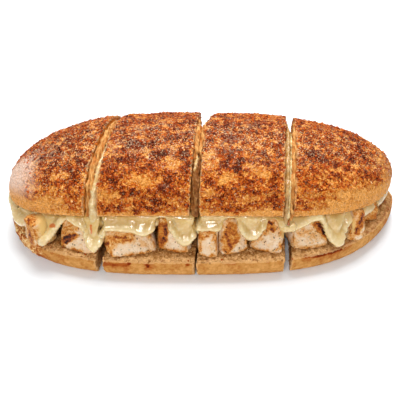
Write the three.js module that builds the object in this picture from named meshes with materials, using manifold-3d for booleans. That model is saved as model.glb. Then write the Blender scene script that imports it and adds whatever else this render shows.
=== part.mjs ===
// A grilled chicken and melted cheese sub in a ten-inch roll, cut across into four slices
// that still lie together. Millimetres: +X runs along the roll, +Z is up, the open front is at -Y.
import * as THREE from 'three';
import { mergeVertices } from 'three/addons/utils/BufferGeometryUtils.js';
import Module from 'manifold-3d';

const wasm = await Module();
wasm.setup();

// The clearance between pieces that touch.
const GAP = 0.35;

// The bottom half of the roll: a flat slab with rolled walls, wider than the top half.
const BOTTOM = {
  halfWidth: 56.3,
  setBack: 0,
  thickness: 14.7,
  footInset: 4,
  footRoll: 2.3,
  lipInset: 1,
  widestAt: 0.6,
  left: { reach: 125.1, power: 3.36, root: 2.22, sweep: 0 },
  right: { reach: 136.6, power: 3.56, root: 1.48, sweep: 7.5 },
};

// The top half of the roll: a dome on a rim that falls towards both tips.
const TOP = {
  halfWidth: 49.3,
  setBack: 6.1,
  rimHeight: 41.8,
  crown: 27.8,
  frontRound: 2.24,
  backRound: 1.81,
  left: {
    reach: 125.7, power: 3.44, root: 2.2, sweep: 0.2,
    fall: 15.1, fallPower: 2.73, crownPower: 3.68, crownRoot: 2.46,
  },
  right: {
    reach: 131.7, power: 3.76, root: 1.68, sweep: 6.3,
    fall: 14.4, fallPower: 1.94, crownPower: 4.29, crownRoot: 2.79,
  },
};
// The level on which the filling lies.
const FILLING_FLOOR = BOTTOM.thickness + GAP;
// The crust's low swells: how high each rises, in mm, and how it turns per mm along and across.
const CRUST_SWELLS = [
  { rise: 0.42, along: 0.11, across: 0.04, phase: 1.3 },
  { rise: 0.3, along: -0.07, across: 0.13, phase: 0.4 },
  { rise: 0.24, along: 0.31, across: 0.17, phase: 2.1 },
];
// The power with which they die away towards the tips.
const SWELL_FADE = 4;
// Both halves end this share of the way to their tips, in a face too small to see.
const TIP_SHARE = 0.9985;

// Each knife cut leaves two faces, one on the slice to its left and one on the slice to its right.
// A face lies at x = at + slope * y on the top half's rim and moves by lean for each mm above that.
// Behind the roll's middle it bows to the right by bow * y * y.
const CUTS = [
  {
    top: [{ at: -61.1, slope: 0.15 }, { at: -54.4, slope: 0.12 }],
    filling: [{ at: -53.7, slope: 0.11 }, { at: -52.6, slope: 0.11 }],
    bottom: [{ at: -56.6, slope: 0.11 }, { at: -52.2, slope: 0.11 }],
  },
  {
    top: [{ at: -1.4, slope: 0.075 }, { at: 5.6, slope: 0.1, lean: -0.05, bow: 0.0022 }],
    filling: [{ at: 2.6, slope: 0.1 }, { at: 4.9, slope: 0.1 }],
    bottom: [{ at: 3.5, slope: 0.1 }, { at: 4.9, slope: 0.1 }],
  },
  {
    top: [{ at: 56.4, slope: 0.135, lean: -0.08 }, { at: 61.5, slope: 0.125, lean: -0.02 }],
    filling: [{ at: 56.7, slope: 0.105 }, { at: 58.2, slope: 0.105 }],
    bottom: [{ at: 58.9, slope: 0.105 }, { at: 62.9, slope: 0.105 }],
  },
];
const BEYOND = 180;
// How many flat strips a bowed face is made of, over the block's whole depth.
const FACE_STRIPS = 72;

// Melted cheese: a sheet under the top half, and a hem that sags round its rim.
const CHEESE = {
  sheetLow: 29.5,
  sheetInset: 4,
  sheetLength: 0.98,
  leastHalfWidth: 0.5,
  hemThickness: 7,
  hemRound: 0.7,
  hemInset: 0.6,
  flare: 0.3,
  middleBand: 11.5,
  tipBand: 4,
  leastBand: 2.6,
  backBand: 8,
  bandFade: 4,
  dripShape: 2.6,
};
// Where the hem at the front hangs lower (drop over 0) or arches up over a chunk (drop under 0),
// and how much further than the rest it spreads outwards for each mm that it hangs.
const FRONT_HEM = [
  { at: -112, half: 7, drop: 5, spread: 0.22 },
  { at: -94, half: 8.5, drop: 8, spread: 0.58 },
  { at: -79, half: 7, drop: -8, spread: 0 },
  { at: -62, half: 4.8, drop: 11, spread: 0.27 },
  { at: -33, half: 5, drop: 2.5, spread: 0.05 },
  { at: -21.5, half: 5, drop: -9, spread: 0 },
  { at: -8.3, half: 5.4, drop: 10, spread: 0.05 },
  { at: 1, half: 3.5, drop: 3.5, spread: 0 },
  { at: 20, half: 6.5, drop: -8.5, spread: 0 },
  { at: 32, half: 5.5, drop: 6, spread: 0 },
  { at: 44.8, half: 6, drop: -9, spread: 0 },
  { at: 64, half: 5, drop: -2.5, spread: 0 },
  { at: 73, half: 6, drop: -8, spread: 0 },
  { at: 84.5, half: 5.4, drop: 11, spread: 0.28 },
];
const BACK_HEM = { spacing: 31, half: [4.2, 9.1], drop: [-1.8, 5.2], jitter: 5 };

// The chunks of grilled chicken. Each stands on the bottom half at (x, y), is turned about its
// upright and leans by lean mm at its top, whose size is a share of its foot's.
const CHUNK_ROUND = 7;
const FRONT_CHUNKS = [
  [
    { x: -98, y: -36, size: [16, 16, 18], turn: 47, lean: [1, 2], top: [0.85, 0.8] },
    { x: -72, y: -38.5, size: [27, 21, 19], turn: -14, lean: [-2, 7], top: [0.62, 0.6] },
  ],
  [
    { x: -40.5, y: -41.5, size: [33, 22, 17], turn: 13, lean: [-3, 6], top: [0.8, 0.65] },
    { x: -14, y: -38.5, size: [23, 21, 23], turn: -8, lean: [-3, 5], top: [0.5, 0.75] },
  ],
  [
    { x: 6.5, y: -42.5, size: [14, 22, 18], turn: -3, lean: [0, 4], top: [0.85, 0.75] },
    { x: 20, y: -40.5, size: [20, 21, 23], turn: 19, lean: [1, 8], top: [0.65, 0.6] },
    { x: 43.5, y: -39, size: [24, 21, 22], turn: -14, lean: [0, 8], top: [0.55, 0.6] },
  ],
  [
    { x: 67.5, y: -36, size: [26, 21, 20], turn: 13, lean: [2, 8], top: [0.75, 0.6] },
    { x: 97, y: -29.5, size: [12, 19, 18], turn: 10, lean: [4, 4], top: [0.75, 0.75] },
  ],
];
const BACK_CHUNK_COUNT = [2, 3, 2, 2];
const BACK_CHUNK = { depth: 23, height: 19, y: 39, jitter: 1.5, leftMargin: 22, rightMargin: 26 };
const MIDDLE_CHUNK_COUNT = 2;
// The middle chunks are packed tight, and are cut back where the others stand.
const MIDDLE_CHUNK = { depth: 60, height: 19, y: 1, jitter: 0.7, leftMargin: 11, rightMargin: 15 };
// How the rear and middle rows vary, and how they shrink and draw in towards the tips.
const ROW = {
  fullness: 1.02, turn: 8, lean: 2, heightJitter: 1.5,
  topLength: [0.8, 0.95], topDepth: 0.9, drawIn: 0.3, shrink: 0.35, tipPower: 3,
};
// The uneven faces of a chunk: how far they rise, in mm, and how they turn over its unit block.
const WOBBLES = [
  { rise: 0.45, x: 2.6, y: 0, z: 1.7 },
  { rise: 0.3, x: 0, y: 2.9, z: 0 },
  { rise: 0.45, x: -1.3, y: 0, z: 3.1 },
];

// How finely each shape is divided.
const TOP_STEPS = { around: 22, along: 38 };
const BOTTOM_STEPS = { flat: 5, wall: 4, along: 34 };
const HEM_STEPS = { around: 8, front: 100, back: 36, outline: 1200 };
const SHEET_STEPS = { flat: 3, wall: 1, along: 20 };
const CHUNK_STEPS = { front: 4, back: 3, middle: 2 };
// The plain ring whose points become the hem, of any size.
const RING = { radius: 2, tube: 1 };
// Points nearer than this are one point.
const MERGE_DISTANCE = 1e-4;
const SEEDS = { rearHem: 11, rows: 100 };

const COLOURS = {
  crust: { color: 0xc8813f, roughness: 0.6 },
  base: { color: 0xd79b57, roughness: 0.7 },
  cheese: { color: 0xe9d79a, roughness: 0.35 },
  chicken: { color: 0xdcb583, roughness: 0.55 },
};

// A seeded random number source, from 0 up to 1.
function randomSource(seed) {
  let state = seed;
  return () => {
    state = (state * 1664525 + 1013904223) % 4294967296;
    return state / 4294967296;
  };
}

function between(random, low, high) {
  return low + (high - low) * random();
}

function toSolid(geometry) {
  const bare = geometry.clone();
  bare.deleteAttribute('normal');
  bare.deleteAttribute('uv');
  const merged = mergeVertices(bare, MERGE_DISTANCE);
  return new wasm.Manifold(new wasm.Mesh({
    numProp: 3,
    vertProperties: new Float32Array(merged.attributes.position.array),
    triVerts: new Uint32Array(merged.index.array),
  }));
}

function toGeometry(solid) {
  const mesh = solid.getMesh();
  const geometry = new THREE.BufferGeometry();
  geometry.setAttribute('position', new THREE.BufferAttribute(mesh.vertProperties, 3));
  geometry.setIndex(new THREE.BufferAttribute(mesh.triVerts, 1));
  geometry.computeVertexNormals();
  return geometry;
}

// The largest separate body of a solid, without loose scraps.
function largestBody(solid) {
  return solid.decompose().reduce((best, body) => (body.volume() > best.volume() ? body : best));
}

function movePoints(geometry, place) {
  const position = geometry.attributes.position;
  const point = new THREE.Vector3();
  for (let i = 0; i < position.count; i += 1) {
    point.fromBufferAttribute(position, i);
    place(point);
    position.setXYZ(i, point.x, point.y, point.z);
  }
  return geometry;
}

// From 1 in the middle of the roll to 0 at its tip.
function taper(share, power, root) {
  return Math.pow(Math.max(0, 1 - Math.pow(Math.abs(share), power)), 1 / root);
}

// Where a half of the roll stands at a share of its length, from -1 at its left tip to 1 at its right.
function crossSection(half, share) {
  const end = share > 0 ? half.right : half.left;
  return {
    x: end.reach * share,
    centre: half.setBack + end.sweep * share * share,
    halfWidth: half.halfWidth * taper(share, end.power, end.root),
  };
}

function rimHeight(share) {
  const end = share > 0 ? TOP.right : TOP.left;
  return TOP.rimHeight - end.fall * Math.pow(Math.abs(share), end.fallPower);
}

function crownHeight(share) {
  const end = share > 0 ? TOP.right : TOP.left;
  return TOP.crown * taper(share, end.crownPower, end.crownRoot);
}

function crustSwell(x, y) {
  return CRUST_SWELLS.reduce((total, swell) => (
    total + swell.rise * Math.sin(x * swell.along + y * swell.across + swell.phase)
  ), 0);
}

// A cylinder lying along the roll, whose rings become the sections that place() gives.
// turn runs from 0 to 1 round a ring from the back over the top, and is null at a cap's centre.
function sweptBody(steps, place) {
  const cylinder = new THREE.CylinderGeometry(1, 1, 2, steps.around, steps.along);
  return movePoints(cylinder, (point) => {
    const share = TIP_SHARE * Math.sin(point.y * Math.PI / 2);
    const onRing = Math.hypot(point.x, point.z) > 0.5;
    const angle = Math.atan2(point.x, point.z) / (2 * Math.PI);
    const step = Math.round(angle * steps.around + steps.around) % steps.around;
    place(point, share, onRing ? step / steps.around : null);
  });
}

function topHalf() {
  return toSolid(sweptBody(TOP_STEPS, (point, share, turn) => {
    const { x, centre, halfWidth } = crossSection(TOP, share);
    const rim = rimHeight(share);
    if (turn === null) {
      point.set(x, centre, rim + crownHeight(share) / 2);
      return;
    }
    const across = Math.cos(turn * 2 * Math.PI);
    const up = Math.max(0, Math.sin(turn * 2 * Math.PI));
    if (turn >= 0.5) {
      point.set(x, centre + halfWidth * across, rim);
      return;
    }
    const round = across < 0 ? TOP.frontRound : TOP.backRound;
    const reach = Math.pow(Math.pow(Math.abs(across), round) + Math.pow(up, round), -1 / round);
    const swell = crustSwell(x, halfWidth * across) * up * taper(share, SWELL_FADE, 1);
    point.set(x, centre + halfWidth * reach * across, rim + crownHeight(share) * reach * up + swell);
  }));
}

// The stations round the section of a slab: how far across from -1 to 1, and how high from 0 to 1.
function slabStations({ flat, wall }) {
  const stations = [];
  for (const side of [1, -1]) {
    for (let i = 0; i < wall; i += 1) {
      stations.push({ across: side, up: side > 0 ? i / wall : 1 - i / wall });
    }
    for (let i = 0; i < flat; i += 1) {
      stations.push({ across: side * (1 - 2 * i / flat), up: side > 0 ? 1 : 0 });
    }
  }
  return stations;
}

// How far the wall of the bottom half is drawn in at a share of its height.
function wallInset(up) {
  return up < BOTTOM.widestAt
    ? BOTTOM.footInset * Math.pow(1 - up / BOTTOM.widestAt, BOTTOM.footRoll)
    : BOTTOM.lipInset * Math.pow((up - BOTTOM.widestAt) / (1 - BOTTOM.widestAt), 2);
}

function bottomHalf() {
  const stations = slabStations(BOTTOM_STEPS);
  const steps = { around: stations.length, along: BOTTOM_STEPS.along };
  return toSolid(sweptBody(steps, (point, share, turn) => {
    const { x, centre, halfWidth } = crossSection(BOTTOM, share);
    if (turn === null) {
      point.set(x, centre, BOTTOM.thickness / 2);
      return;
    }
    const { across, up } = stations[Math.round(turn * stations.length)];
    const inset = wallInset(up);
    const lengthShare = 1 - inset / BOTTOM.left.reach;
    const width = halfWidth * (1 - inset / BOTTOM.halfWidth);
    point.set(x * lengthShare, centre + width * across, BOTTOM.thickness * up);
  }));
}

// The block that holds one slice, between the cut on its left and the cut on its right.
function sliceBlock(layer, index) {
  const left = index > 0 ? CUTS[index - 1][layer][1] : { at: -BEYOND, slope: 0 };
  const right = index < CUTS.length ? CUTS[index][layer][0] : { at: BEYOND, slope: 0 };
  const strips = left.bow || right.bow ? FACE_STRIPS : 1;
  const block = new THREE.BoxGeometry(2 * BEYOND, 2 * BEYOND, 2 * BEYOND, 1, strips, 1);
  return toSolid(movePoints(block, (point) => {
    const { at, slope, lean = 0, bow = 0 } = point.x < 0 ? left : right;
    const behind = Math.max(0, point.y);
    point.x = at + slope * point.y + lean * (point.z - TOP.rimHeight) + bow * behind * behind;
  }));
}

// The plan outline of the top half's rim, from the left tip along the front and back along the rear.
class RimOutline extends THREE.Curve {
  getPoint(t, target = new THREE.Vector3()) {
    const alongFront = t < 0.5;
    const share = alongFront ? -Math.cos(2 * Math.PI * t) : Math.cos(2 * Math.PI * (t - 0.5));
    const { x, centre, halfWidth } = crossSection(TOP, TIP_SHARE * share);
    return target.set(x, centre + (alongFront ? -halfWidth : halfWidth), 0);
  }
}

function shareAt(half, x) {
  return THREE.MathUtils.clamp(x / (x > 0 ? half.right.reach : half.left.reach), -1, 1);
}

function bell(distance, half) {
  return Math.exp(-Math.pow(Math.abs(distance) / half, CHEESE.dripShape));
}

// Draws a value from -1 to 1 out towards its ends.
function squarer(value, power) {
  return Math.sign(value) * Math.pow(Math.abs(value), power);
}

// How deep the cheese hangs below the rim at a place along it, and how far it spreads per mm.
function hemAt(x, middle, drips) {
  const share = Math.abs(shareAt(TOP, x));
  const plain = THREE.MathUtils.lerp(middle, CHEESE.tipBand, Math.pow(share, CHEESE.bandFade));
  const total = (key) => drips.reduce((sum, drip) => sum + drip[key] * bell(x - drip.at, drip.half), 0);
  return { band: Math.max(CHEESE.leastBand, plain + total('drop')), spread: total('spread') };
}

function rearHem() {
  const random = randomSource(SEEDS.rearHem);
  const drips = [];
  for (let x = -TOP.left.reach + BACK_HEM.spacing / 2; x < TOP.right.reach; x += BACK_HEM.spacing) {
    drips.push({
      at: x + between(random, -BACK_HEM.jitter, BACK_HEM.jitter),
      half: between(random, ...BACK_HEM.half),
      drop: between(random, ...BACK_HEM.drop),
      spread: 0,
    });
  }
  return drips;
}

// The hem: a ring round the rim whose section hangs from just under it down to the sagging edge.
function cheeseHem() {
  const outline = new RimOutline();
  outline.arcLengthDivisions = HEM_STEPS.outline;
  const rearDrips = rearHem();
  const along = HEM_STEPS.front + HEM_STEPS.back;
  const ring = new THREE.TorusGeometry(RING.radius, RING.tube, HEM_STEPS.around, along);
  return toSolid(movePoints(ring, (point) => {
    const turn = Math.atan2(point.y, point.x) / (2 * Math.PI);
    const step = Math.round(turn * along + along) % along;
    const front = step <= HEM_STEPS.front;
    const t = front ? step / HEM_STEPS.front / 2 : 0.5 + (step - HEM_STEPS.front) / HEM_STEPS.back / 2;
    const around = Math.atan2(point.z, Math.hypot(point.x, point.y) - RING.radius);
    const edge = outline.getPointAt(t);
    const tangent = outline.getTangentAt(t);
    const outward = new THREE.Vector3(tangent.y, -tangent.x, 0);
    const high = rimHeight(shareAt(TOP, edge.x)) - GAP;
    const atFront = edge.y < TOP.setBack;
    const hem = atFront
      ? hemAt(edge.x, CHEESE.middleBand, FRONT_HEM)
      : hemAt(edge.x, CHEESE.backBand, rearDrips);
    const low = Math.max(FILLING_FLOOR, high - hem.band);
    const out = squarer(Math.cos(around), CHEESE.hemRound);
    const up = squarer(Math.sin(around), CHEESE.hemRound);
    const z = (high + low) / 2 + up * (high - low) / 2;
    const flare = atFront ? (CHEESE.flare + hem.spread) * (high - z) : 0;
    const offset = CHEESE.hemThickness / 2 * (out - 1) - CHEESE.hemInset + flare;
    point.copy(edge).addScaledVector(outward, offset);
    point.z = z;
  }));
}

// The sheet of cheese inside the hem.
function cheeseSheet() {
  const stations = slabStations(SHEET_STEPS);
  const steps = { around: stations.length, along: SHEET_STEPS.along };
  return toSolid(sweptBody(steps, (point, share, turn) => {
    const { x, centre, halfWidth } = crossSection(TOP, share * CHEESE.sheetLength);
    const high = rimHeight(share * CHEESE.sheetLength) - GAP;
    const low = Math.min(CHEESE.sheetLow, high - CHEESE.leastBand);
    if (turn === null) {
      point.set(x, centre, (high + low) / 2);
      return;
    }
    const { across, up } = stations[Math.round(turn * stations.length)];
    const width = Math.max(CHEESE.leastHalfWidth, halfWidth - CHEESE.sheetInset);
    point.set(x, centre + width * across, THREE.MathUtils.lerp(low, high, up));
  }));
}

// One chunk: a rounded block with uneven faces.
function chunkSolid(chunk, steps, seed, grow) {
  const random = randomSource(seed);
  const phases = WOBBLES.map(() => between(random, 0, 2 * Math.PI));
  const box = new THREE.BoxGeometry(2, 2, 2, steps, steps, steps);
  const [length, depth, height] = chunk.size;
  const turn = THREE.MathUtils.degToRad(chunk.turn);
  return toSolid(movePoints(box, (point) => {
    const reaches = point.toArray().map(Math.abs);
    const sum = reaches.reduce((total, reach) => total + Math.pow(reach, CHUNK_ROUND), 0);
    point.multiplyScalar(Math.max(...reaches) / Math.pow(sum, 1 / CHUNK_ROUND));
    const up = (point.z + 1) / 2;
    const rises = WOBBLES.map((wave, i) => wave.rise
      * Math.sin(wave.x * point.x + wave.y * point.y + wave.z * point.z + phases[i]));
    const bump = rises.reduce((total, rise) => total + rise);
    const wide = THREE.MathUtils.lerp(1, chunk.top[0], up);
    const deep = THREE.MathUtils.lerp(1, chunk.top[1], up);
    const x = point.x * (length / 2 * wide + grow + bump) + chunk.lean[0] * up;
    const y = point.y * (depth / 2 * deep + grow + bump) + chunk.lean[1] * up;
    const z = up * (height + bump) + point.z * grow;
    point.set(x, y, z).applyAxisAngle(new THREE.Vector3(0, 0, 1), turn);
    point.add(new THREE.Vector3(chunk.x, chunk.y, FILLING_FLOOR));
  }));
}

// Like chunks in a row across one slice, for the rear and the middle.
function chunkRow(index, count, kind, random) {
  const left = index > 0 ? CUTS[index - 1].filling[1].at : -TOP.left.reach + kind.leftMargin;
  const right = index < CUTS.length ? CUTS[index].filling[0].at : TOP.right.reach - kind.rightMargin;
  const pitch = (right - left) / count;
  return Array.from({ length: count }, (_, i) => {
    const x = left + pitch * (i + 0.5) + kind.y * CUTS[0].filling[0].slope;
    const nearTip = Math.pow(Math.abs(shareAt(TOP, x)), ROW.tipPower);
    const scale = 1 - ROW.shrink * nearTip;
    const height = kind.height * scale + between(random, -ROW.heightJitter, ROW.heightJitter);
    return {
      x,
      y: kind.y * (1 - ROW.drawIn * nearTip) + between(random, -kind.jitter, kind.jitter),
      size: [pitch * ROW.fullness, kind.depth * scale, height],
      turn: between(random, -ROW.turn, ROW.turn),
      lean: [between(random, -ROW.lean, ROW.lean), 0],
      top: [between(random, ...ROW.topLength), ROW.topDepth],
    };
  });
}

const group = new THREE.Group();

function addPiece(name, solid, colour) {
  const material = new THREE.MeshStandardMaterial({ ...COLOURS[colour], metalness: 0 });
  const mesh = new THREE.Mesh(toGeometry(largestBody(solid)), material);
  mesh.name = name;
  group.add(mesh);
}

const wholeTop = topHalf();
const wholeBottom = bottomHalf();
const wholeCheese = cheeseHem().add(cheeseSheet());
const ceiling = wholeTop.translate([0, 0, -GAP]);

for (let index = 0; index <= CUTS.length; index += 1) {
  const number = index + 1;
  const room = sliceBlock('filling', index);
  const random = randomSource(SEEDS.rows + index);
  const rows = [
    [FRONT_CHUNKS[index], CHUNK_STEPS.front],
    [chunkRow(index, BACK_CHUNK_COUNT[index], BACK_CHUNK, random), CHUNK_STEPS.back],
    [chunkRow(index, MIDDLE_CHUNK_COUNT, MIDDLE_CHUNK, random), CHUNK_STEPS.middle],
  ];
  let cheese = wholeCheese.intersect(room);
  let taken = ceiling;
  let count = 0;
  for (const [chunks, steps] of rows) {
    for (const chunk of chunks) {
      count += 1;
      const seed = number * 10 + count;
      const solid = chunkSolid(chunk, steps, seed, 0).intersect(room).subtract(taken);
      const grown = chunkSolid(chunk, steps, seed, GAP);
      addPiece(`chicken_${number}_${count}`, solid, 'chicken');
      cheese = cheese.subtract(grown);
      taken = taken.add(grown);
    }
  }
  addPiece(`bottom_bun_${number}`, wholeBottom.intersect(sliceBlock('bottom', index)), 'base');
  addPiece(`top_bun_${number}`, wholeTop.intersect(sliceBlock('top', index)), 'crust');
  addPiece(`cheese_${number}`, cheese, 'cheese');
}

// The origin stands under the middle of the whole sub.
const bounds = new THREE.Box3().setFromObject(group);
group.position.set(-(bounds.min.x + bounds.max.x) / 2, -(bounds.min.y + bounds.max.y) / 2, -bounds.min.z);

export default group;
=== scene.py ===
import math

import bpy
import numpy as np
from bpy.props import FloatProperty, FloatVectorProperty, PointerProperty
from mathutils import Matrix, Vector, noise
from mathutils.bvhtree import BVHTree


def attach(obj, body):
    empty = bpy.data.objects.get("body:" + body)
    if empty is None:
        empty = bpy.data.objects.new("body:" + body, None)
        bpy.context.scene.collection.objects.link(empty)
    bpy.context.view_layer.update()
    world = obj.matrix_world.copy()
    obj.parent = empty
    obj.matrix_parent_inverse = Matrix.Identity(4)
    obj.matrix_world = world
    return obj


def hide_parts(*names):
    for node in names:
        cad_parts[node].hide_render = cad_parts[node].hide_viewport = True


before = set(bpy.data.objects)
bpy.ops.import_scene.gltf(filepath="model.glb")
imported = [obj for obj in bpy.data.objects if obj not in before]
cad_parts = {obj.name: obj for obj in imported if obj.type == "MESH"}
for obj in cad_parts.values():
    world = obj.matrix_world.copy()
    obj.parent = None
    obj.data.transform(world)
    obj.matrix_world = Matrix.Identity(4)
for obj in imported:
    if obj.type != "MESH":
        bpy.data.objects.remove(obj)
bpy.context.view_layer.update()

bl_info = {
    "name": "Chicken Sub",
    "version": (1, 0, 0),
    "blender": (4, 5, 0),
    "location": "View3D > Sidebar > Chicken Sub",
    "description": "Bakes, melts and grills the looks of a chicken and cheese sub cut into four slices",
    "category": "Object",
}

MM = 0.001
BODY = "root"
SLICES = (1, 2, 3, 4)
# The middle of the loaf that the camera was fitted to, before the part was centred in its box.
LOAF_MIDDLE = Vector((-5.44 * MM, -0.04 * MM, 0))
# The camera's sensor width in mm.
SENSOR_WIDTH = 36


def linear(red, green, blue):
    """A colour given in the usual 0 to 255, as the linear values that Blender works with."""
    shares = (value / 255 for value in (red, green, blue))
    return tuple(s / 12.92 if s <= 0.04045 else ((s + 0.055) / 1.055) ** 2.4 for s in shares)


def colour_property(name, description, red, green, blue):
    """A colour in the panel, given in 0 to 255."""
    return FloatVectorProperty(
        name=name, description=description, subtype="COLOR", size=3, min=0, max=1,
        default=linear(red, green, blue),
    )


def length_property(name, description, millimetres):
    """A length in the panel, given in mm."""
    return FloatProperty(
        name=name, description=description, default=millimetres * MM, min=0, unit="LENGTH",
    )


class BreadLook(bpy.types.PropertyGroup):
    """Colours and sizes of the roll's crust and crumb"""

    pale: colour_property("Pale", "Crust where it has hardly browned", 255, 176, 90)
    golden: colour_property("Golden", "Crust as it browns", 220, 134, 50)
    orange: colour_property("Orange", "Crust as it toasts", 198, 88, 22)
    red_brown: colour_property("Red brown", "Well toasted crust", 136, 50, 10)
    dark: colour_property("Dark", "Crust toasted hard", 80, 26, 8)
    # Scorched cheese dust, and over the crown also a painted sheen.
    dust_and_sheen: colour_property("Dusty", "Scorched cheese dust on the crust", 148, 107, 88)
    flour: colour_property("Flour", "Dusty pale crust at the left end", 255, 220, 200)
    # Pale flakes on the crust, partly a painted highlight that stands in for their sparkle.
    pale_flake_highlight: colour_property("Glint", "Pale flakes of cheese on the crust", 252, 208, 154)
    base: colour_property("Base", "Smooth crust of the bottom half", 192, 133, 67)
    base_pale: colour_property("Pale base", "Palest crust of the bottom half", 226, 168, 100)
    base_toasted: colour_property("Toasted base", "Toasted marks on the bottom half", 168, 88, 34)
    # Crumb, brighter and more orange than the crumb itself, partly painted light bounced into the cuts.
    crumb: colour_property("Crumb", "Crumb inside the roll", 252, 178, 76)
    pore: colour_property("Pore", "Shaded bottom of a pore", 150, 76, 20)
    # The ledge colours are darker than the top half's crumb, partly painted shade under the filling.
    ledge: colour_property("Ledge", "Crumb of the bottom half where it shows", 190, 138, 80)
    ledge_dark: colour_property("Dark ledge", "Soaked crumb of the bottom half", 134, 82, 34)
    ledge_pale: colour_property("Pale ledge", "Frayed crumb of the bottom half", 240, 192, 132)
    torn: colour_property("Torn", "Torn crumb in the cuts", 188, 112, 42)
    # Crumb wet through, and at the bottom of a cut partly painted shade.
    soaked_and_shaded: colour_property("Soaked", "Crumb soaked through in a cut", 116, 64, 18)
    torn_pale: colour_property("Pale torn", "Pale fibres of the torn crumb", 228, 172, 100)
    smear: colour_property("Smear", "Cheese smeared on the cut crumb", 246, 218, 160)
    blister: length_property("Blister", "Height of the crust's blisters", 0.8)
    pore_size: length_property("Pore size", "Spacing of the crumb's larger pores", 3.2)
    pore_depth: length_property("Pore depth", "Depth of the crumb's larger pores", 0.8)
    voxel: length_property("Fineness", "Edge length of the finished surface", 0.6)


class CheeseLook(bpy.types.PropertyGroup):
    """Colours and sizes of the melted cheese"""

    body: colour_property("Body", "Melted cheese", 216, 179, 108)
    deep: colour_property("Deep", "Cheese where it is thick or shaded", 204, 161, 84)
    # The pale colour on the cheese, partly a painted highlight on rolled edges, drips and strands.
    skin: colour_property("Skin", "Pale skin on the drips", 238, 219, 172)
    browned: colour_property("Browned", "Cheese browned at a spot", 204, 112, 42)
    # Cheese wet into the crumb, and in the cuts partly painted shade.
    steeped: colour_property("Steeped", "Cheese soaked into the crumb in a cut", 140, 80, 22)
    ripple: length_property("Ripple", "Height of the folds in the cheese", 0.45)
    roll: length_property("Roll", "How far the sagging edge swells", 1.9)
    voxel: length_property("Fineness", "Edge length of the finished surface", 0.7)


class ChickenLook(bpy.types.PropertyGroup):
    """Colours and sizes of the grilled chicken"""

    meat: colour_property("Meat", "Pale cut face", 239, 213, 182)
    edge: colour_property("Edge", "Golden seared edge", 224, 158, 66)
    sear: colour_property("Sear", "Grilled face", 194, 112, 34)
    burnt: colour_property("Burnt", "Grilled hard", 146, 66, 20)
    char: colour_property("Char", "Charred marks", 52, 24, 16)
    coat: colour_property("Coat", "Cheese that coats a chunk", 222, 182, 110)
    fibre: length_property("Fibre", "Height of the torn fibres", 0.35)
    voxel: length_property("Fineness", "Edge length of the finished surface", 0.5)


class StageLook(bpy.types.PropertyGroup):
    """Floor, light and camera"""

    floor: colour_property("Floor", "Plain pale floor", 246, 251, 255)
    lens: FloatProperty(name="Lens", description="Focal length", default=44.1, min=1, unit="CAMERA")
    elevation: FloatProperty(
        name="Elevation", description="How far the camera looks down",
        default=math.radians(42), subtype="ANGLE",
    )
    distance: length_property("Distance", "From the camera to the middle of the sub", 335.75)
    target_x: length_property("Target along", "Where the camera looks, along the roll", 1.525)
    target_z: length_property("Target height", "Where the camera looks, above the floor", 15.91)


# Shader building

# Fine noise is turned into speckles by a soft step between these two of its values.
SPECKLE = (0.34, 0.66)
# How far in m a second pattern is shifted, so that it doesn't follow the first.
PATTERN_SHIFT = (0.4, 0.7, 0.2)


class Value:
    """The output of a shader node. Arithmetic on it adds Math nodes."""

    def __init__(self, finish, socket):
        self.finish = finish
        self.socket = socket

    def math(self, operation, first, second):
        return self.finish.node("ShaderNodeMath", {"operation": operation}, {0: first, 1: second})

    def __add__(self, other):
        return self.math("ADD", self, other)

    def __radd__(self, other):
        return self.math("ADD", other, self)

    def __sub__(self, other):
        return self.math("SUBTRACT", self, other)

    def __rsub__(self, other):
        return self.math("SUBTRACT", other, self)

    def __mul__(self, other):
        return self.math("MULTIPLY", self, other)

    def __rmul__(self, other):
        return self.math("MULTIPLY", other, self)


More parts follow.
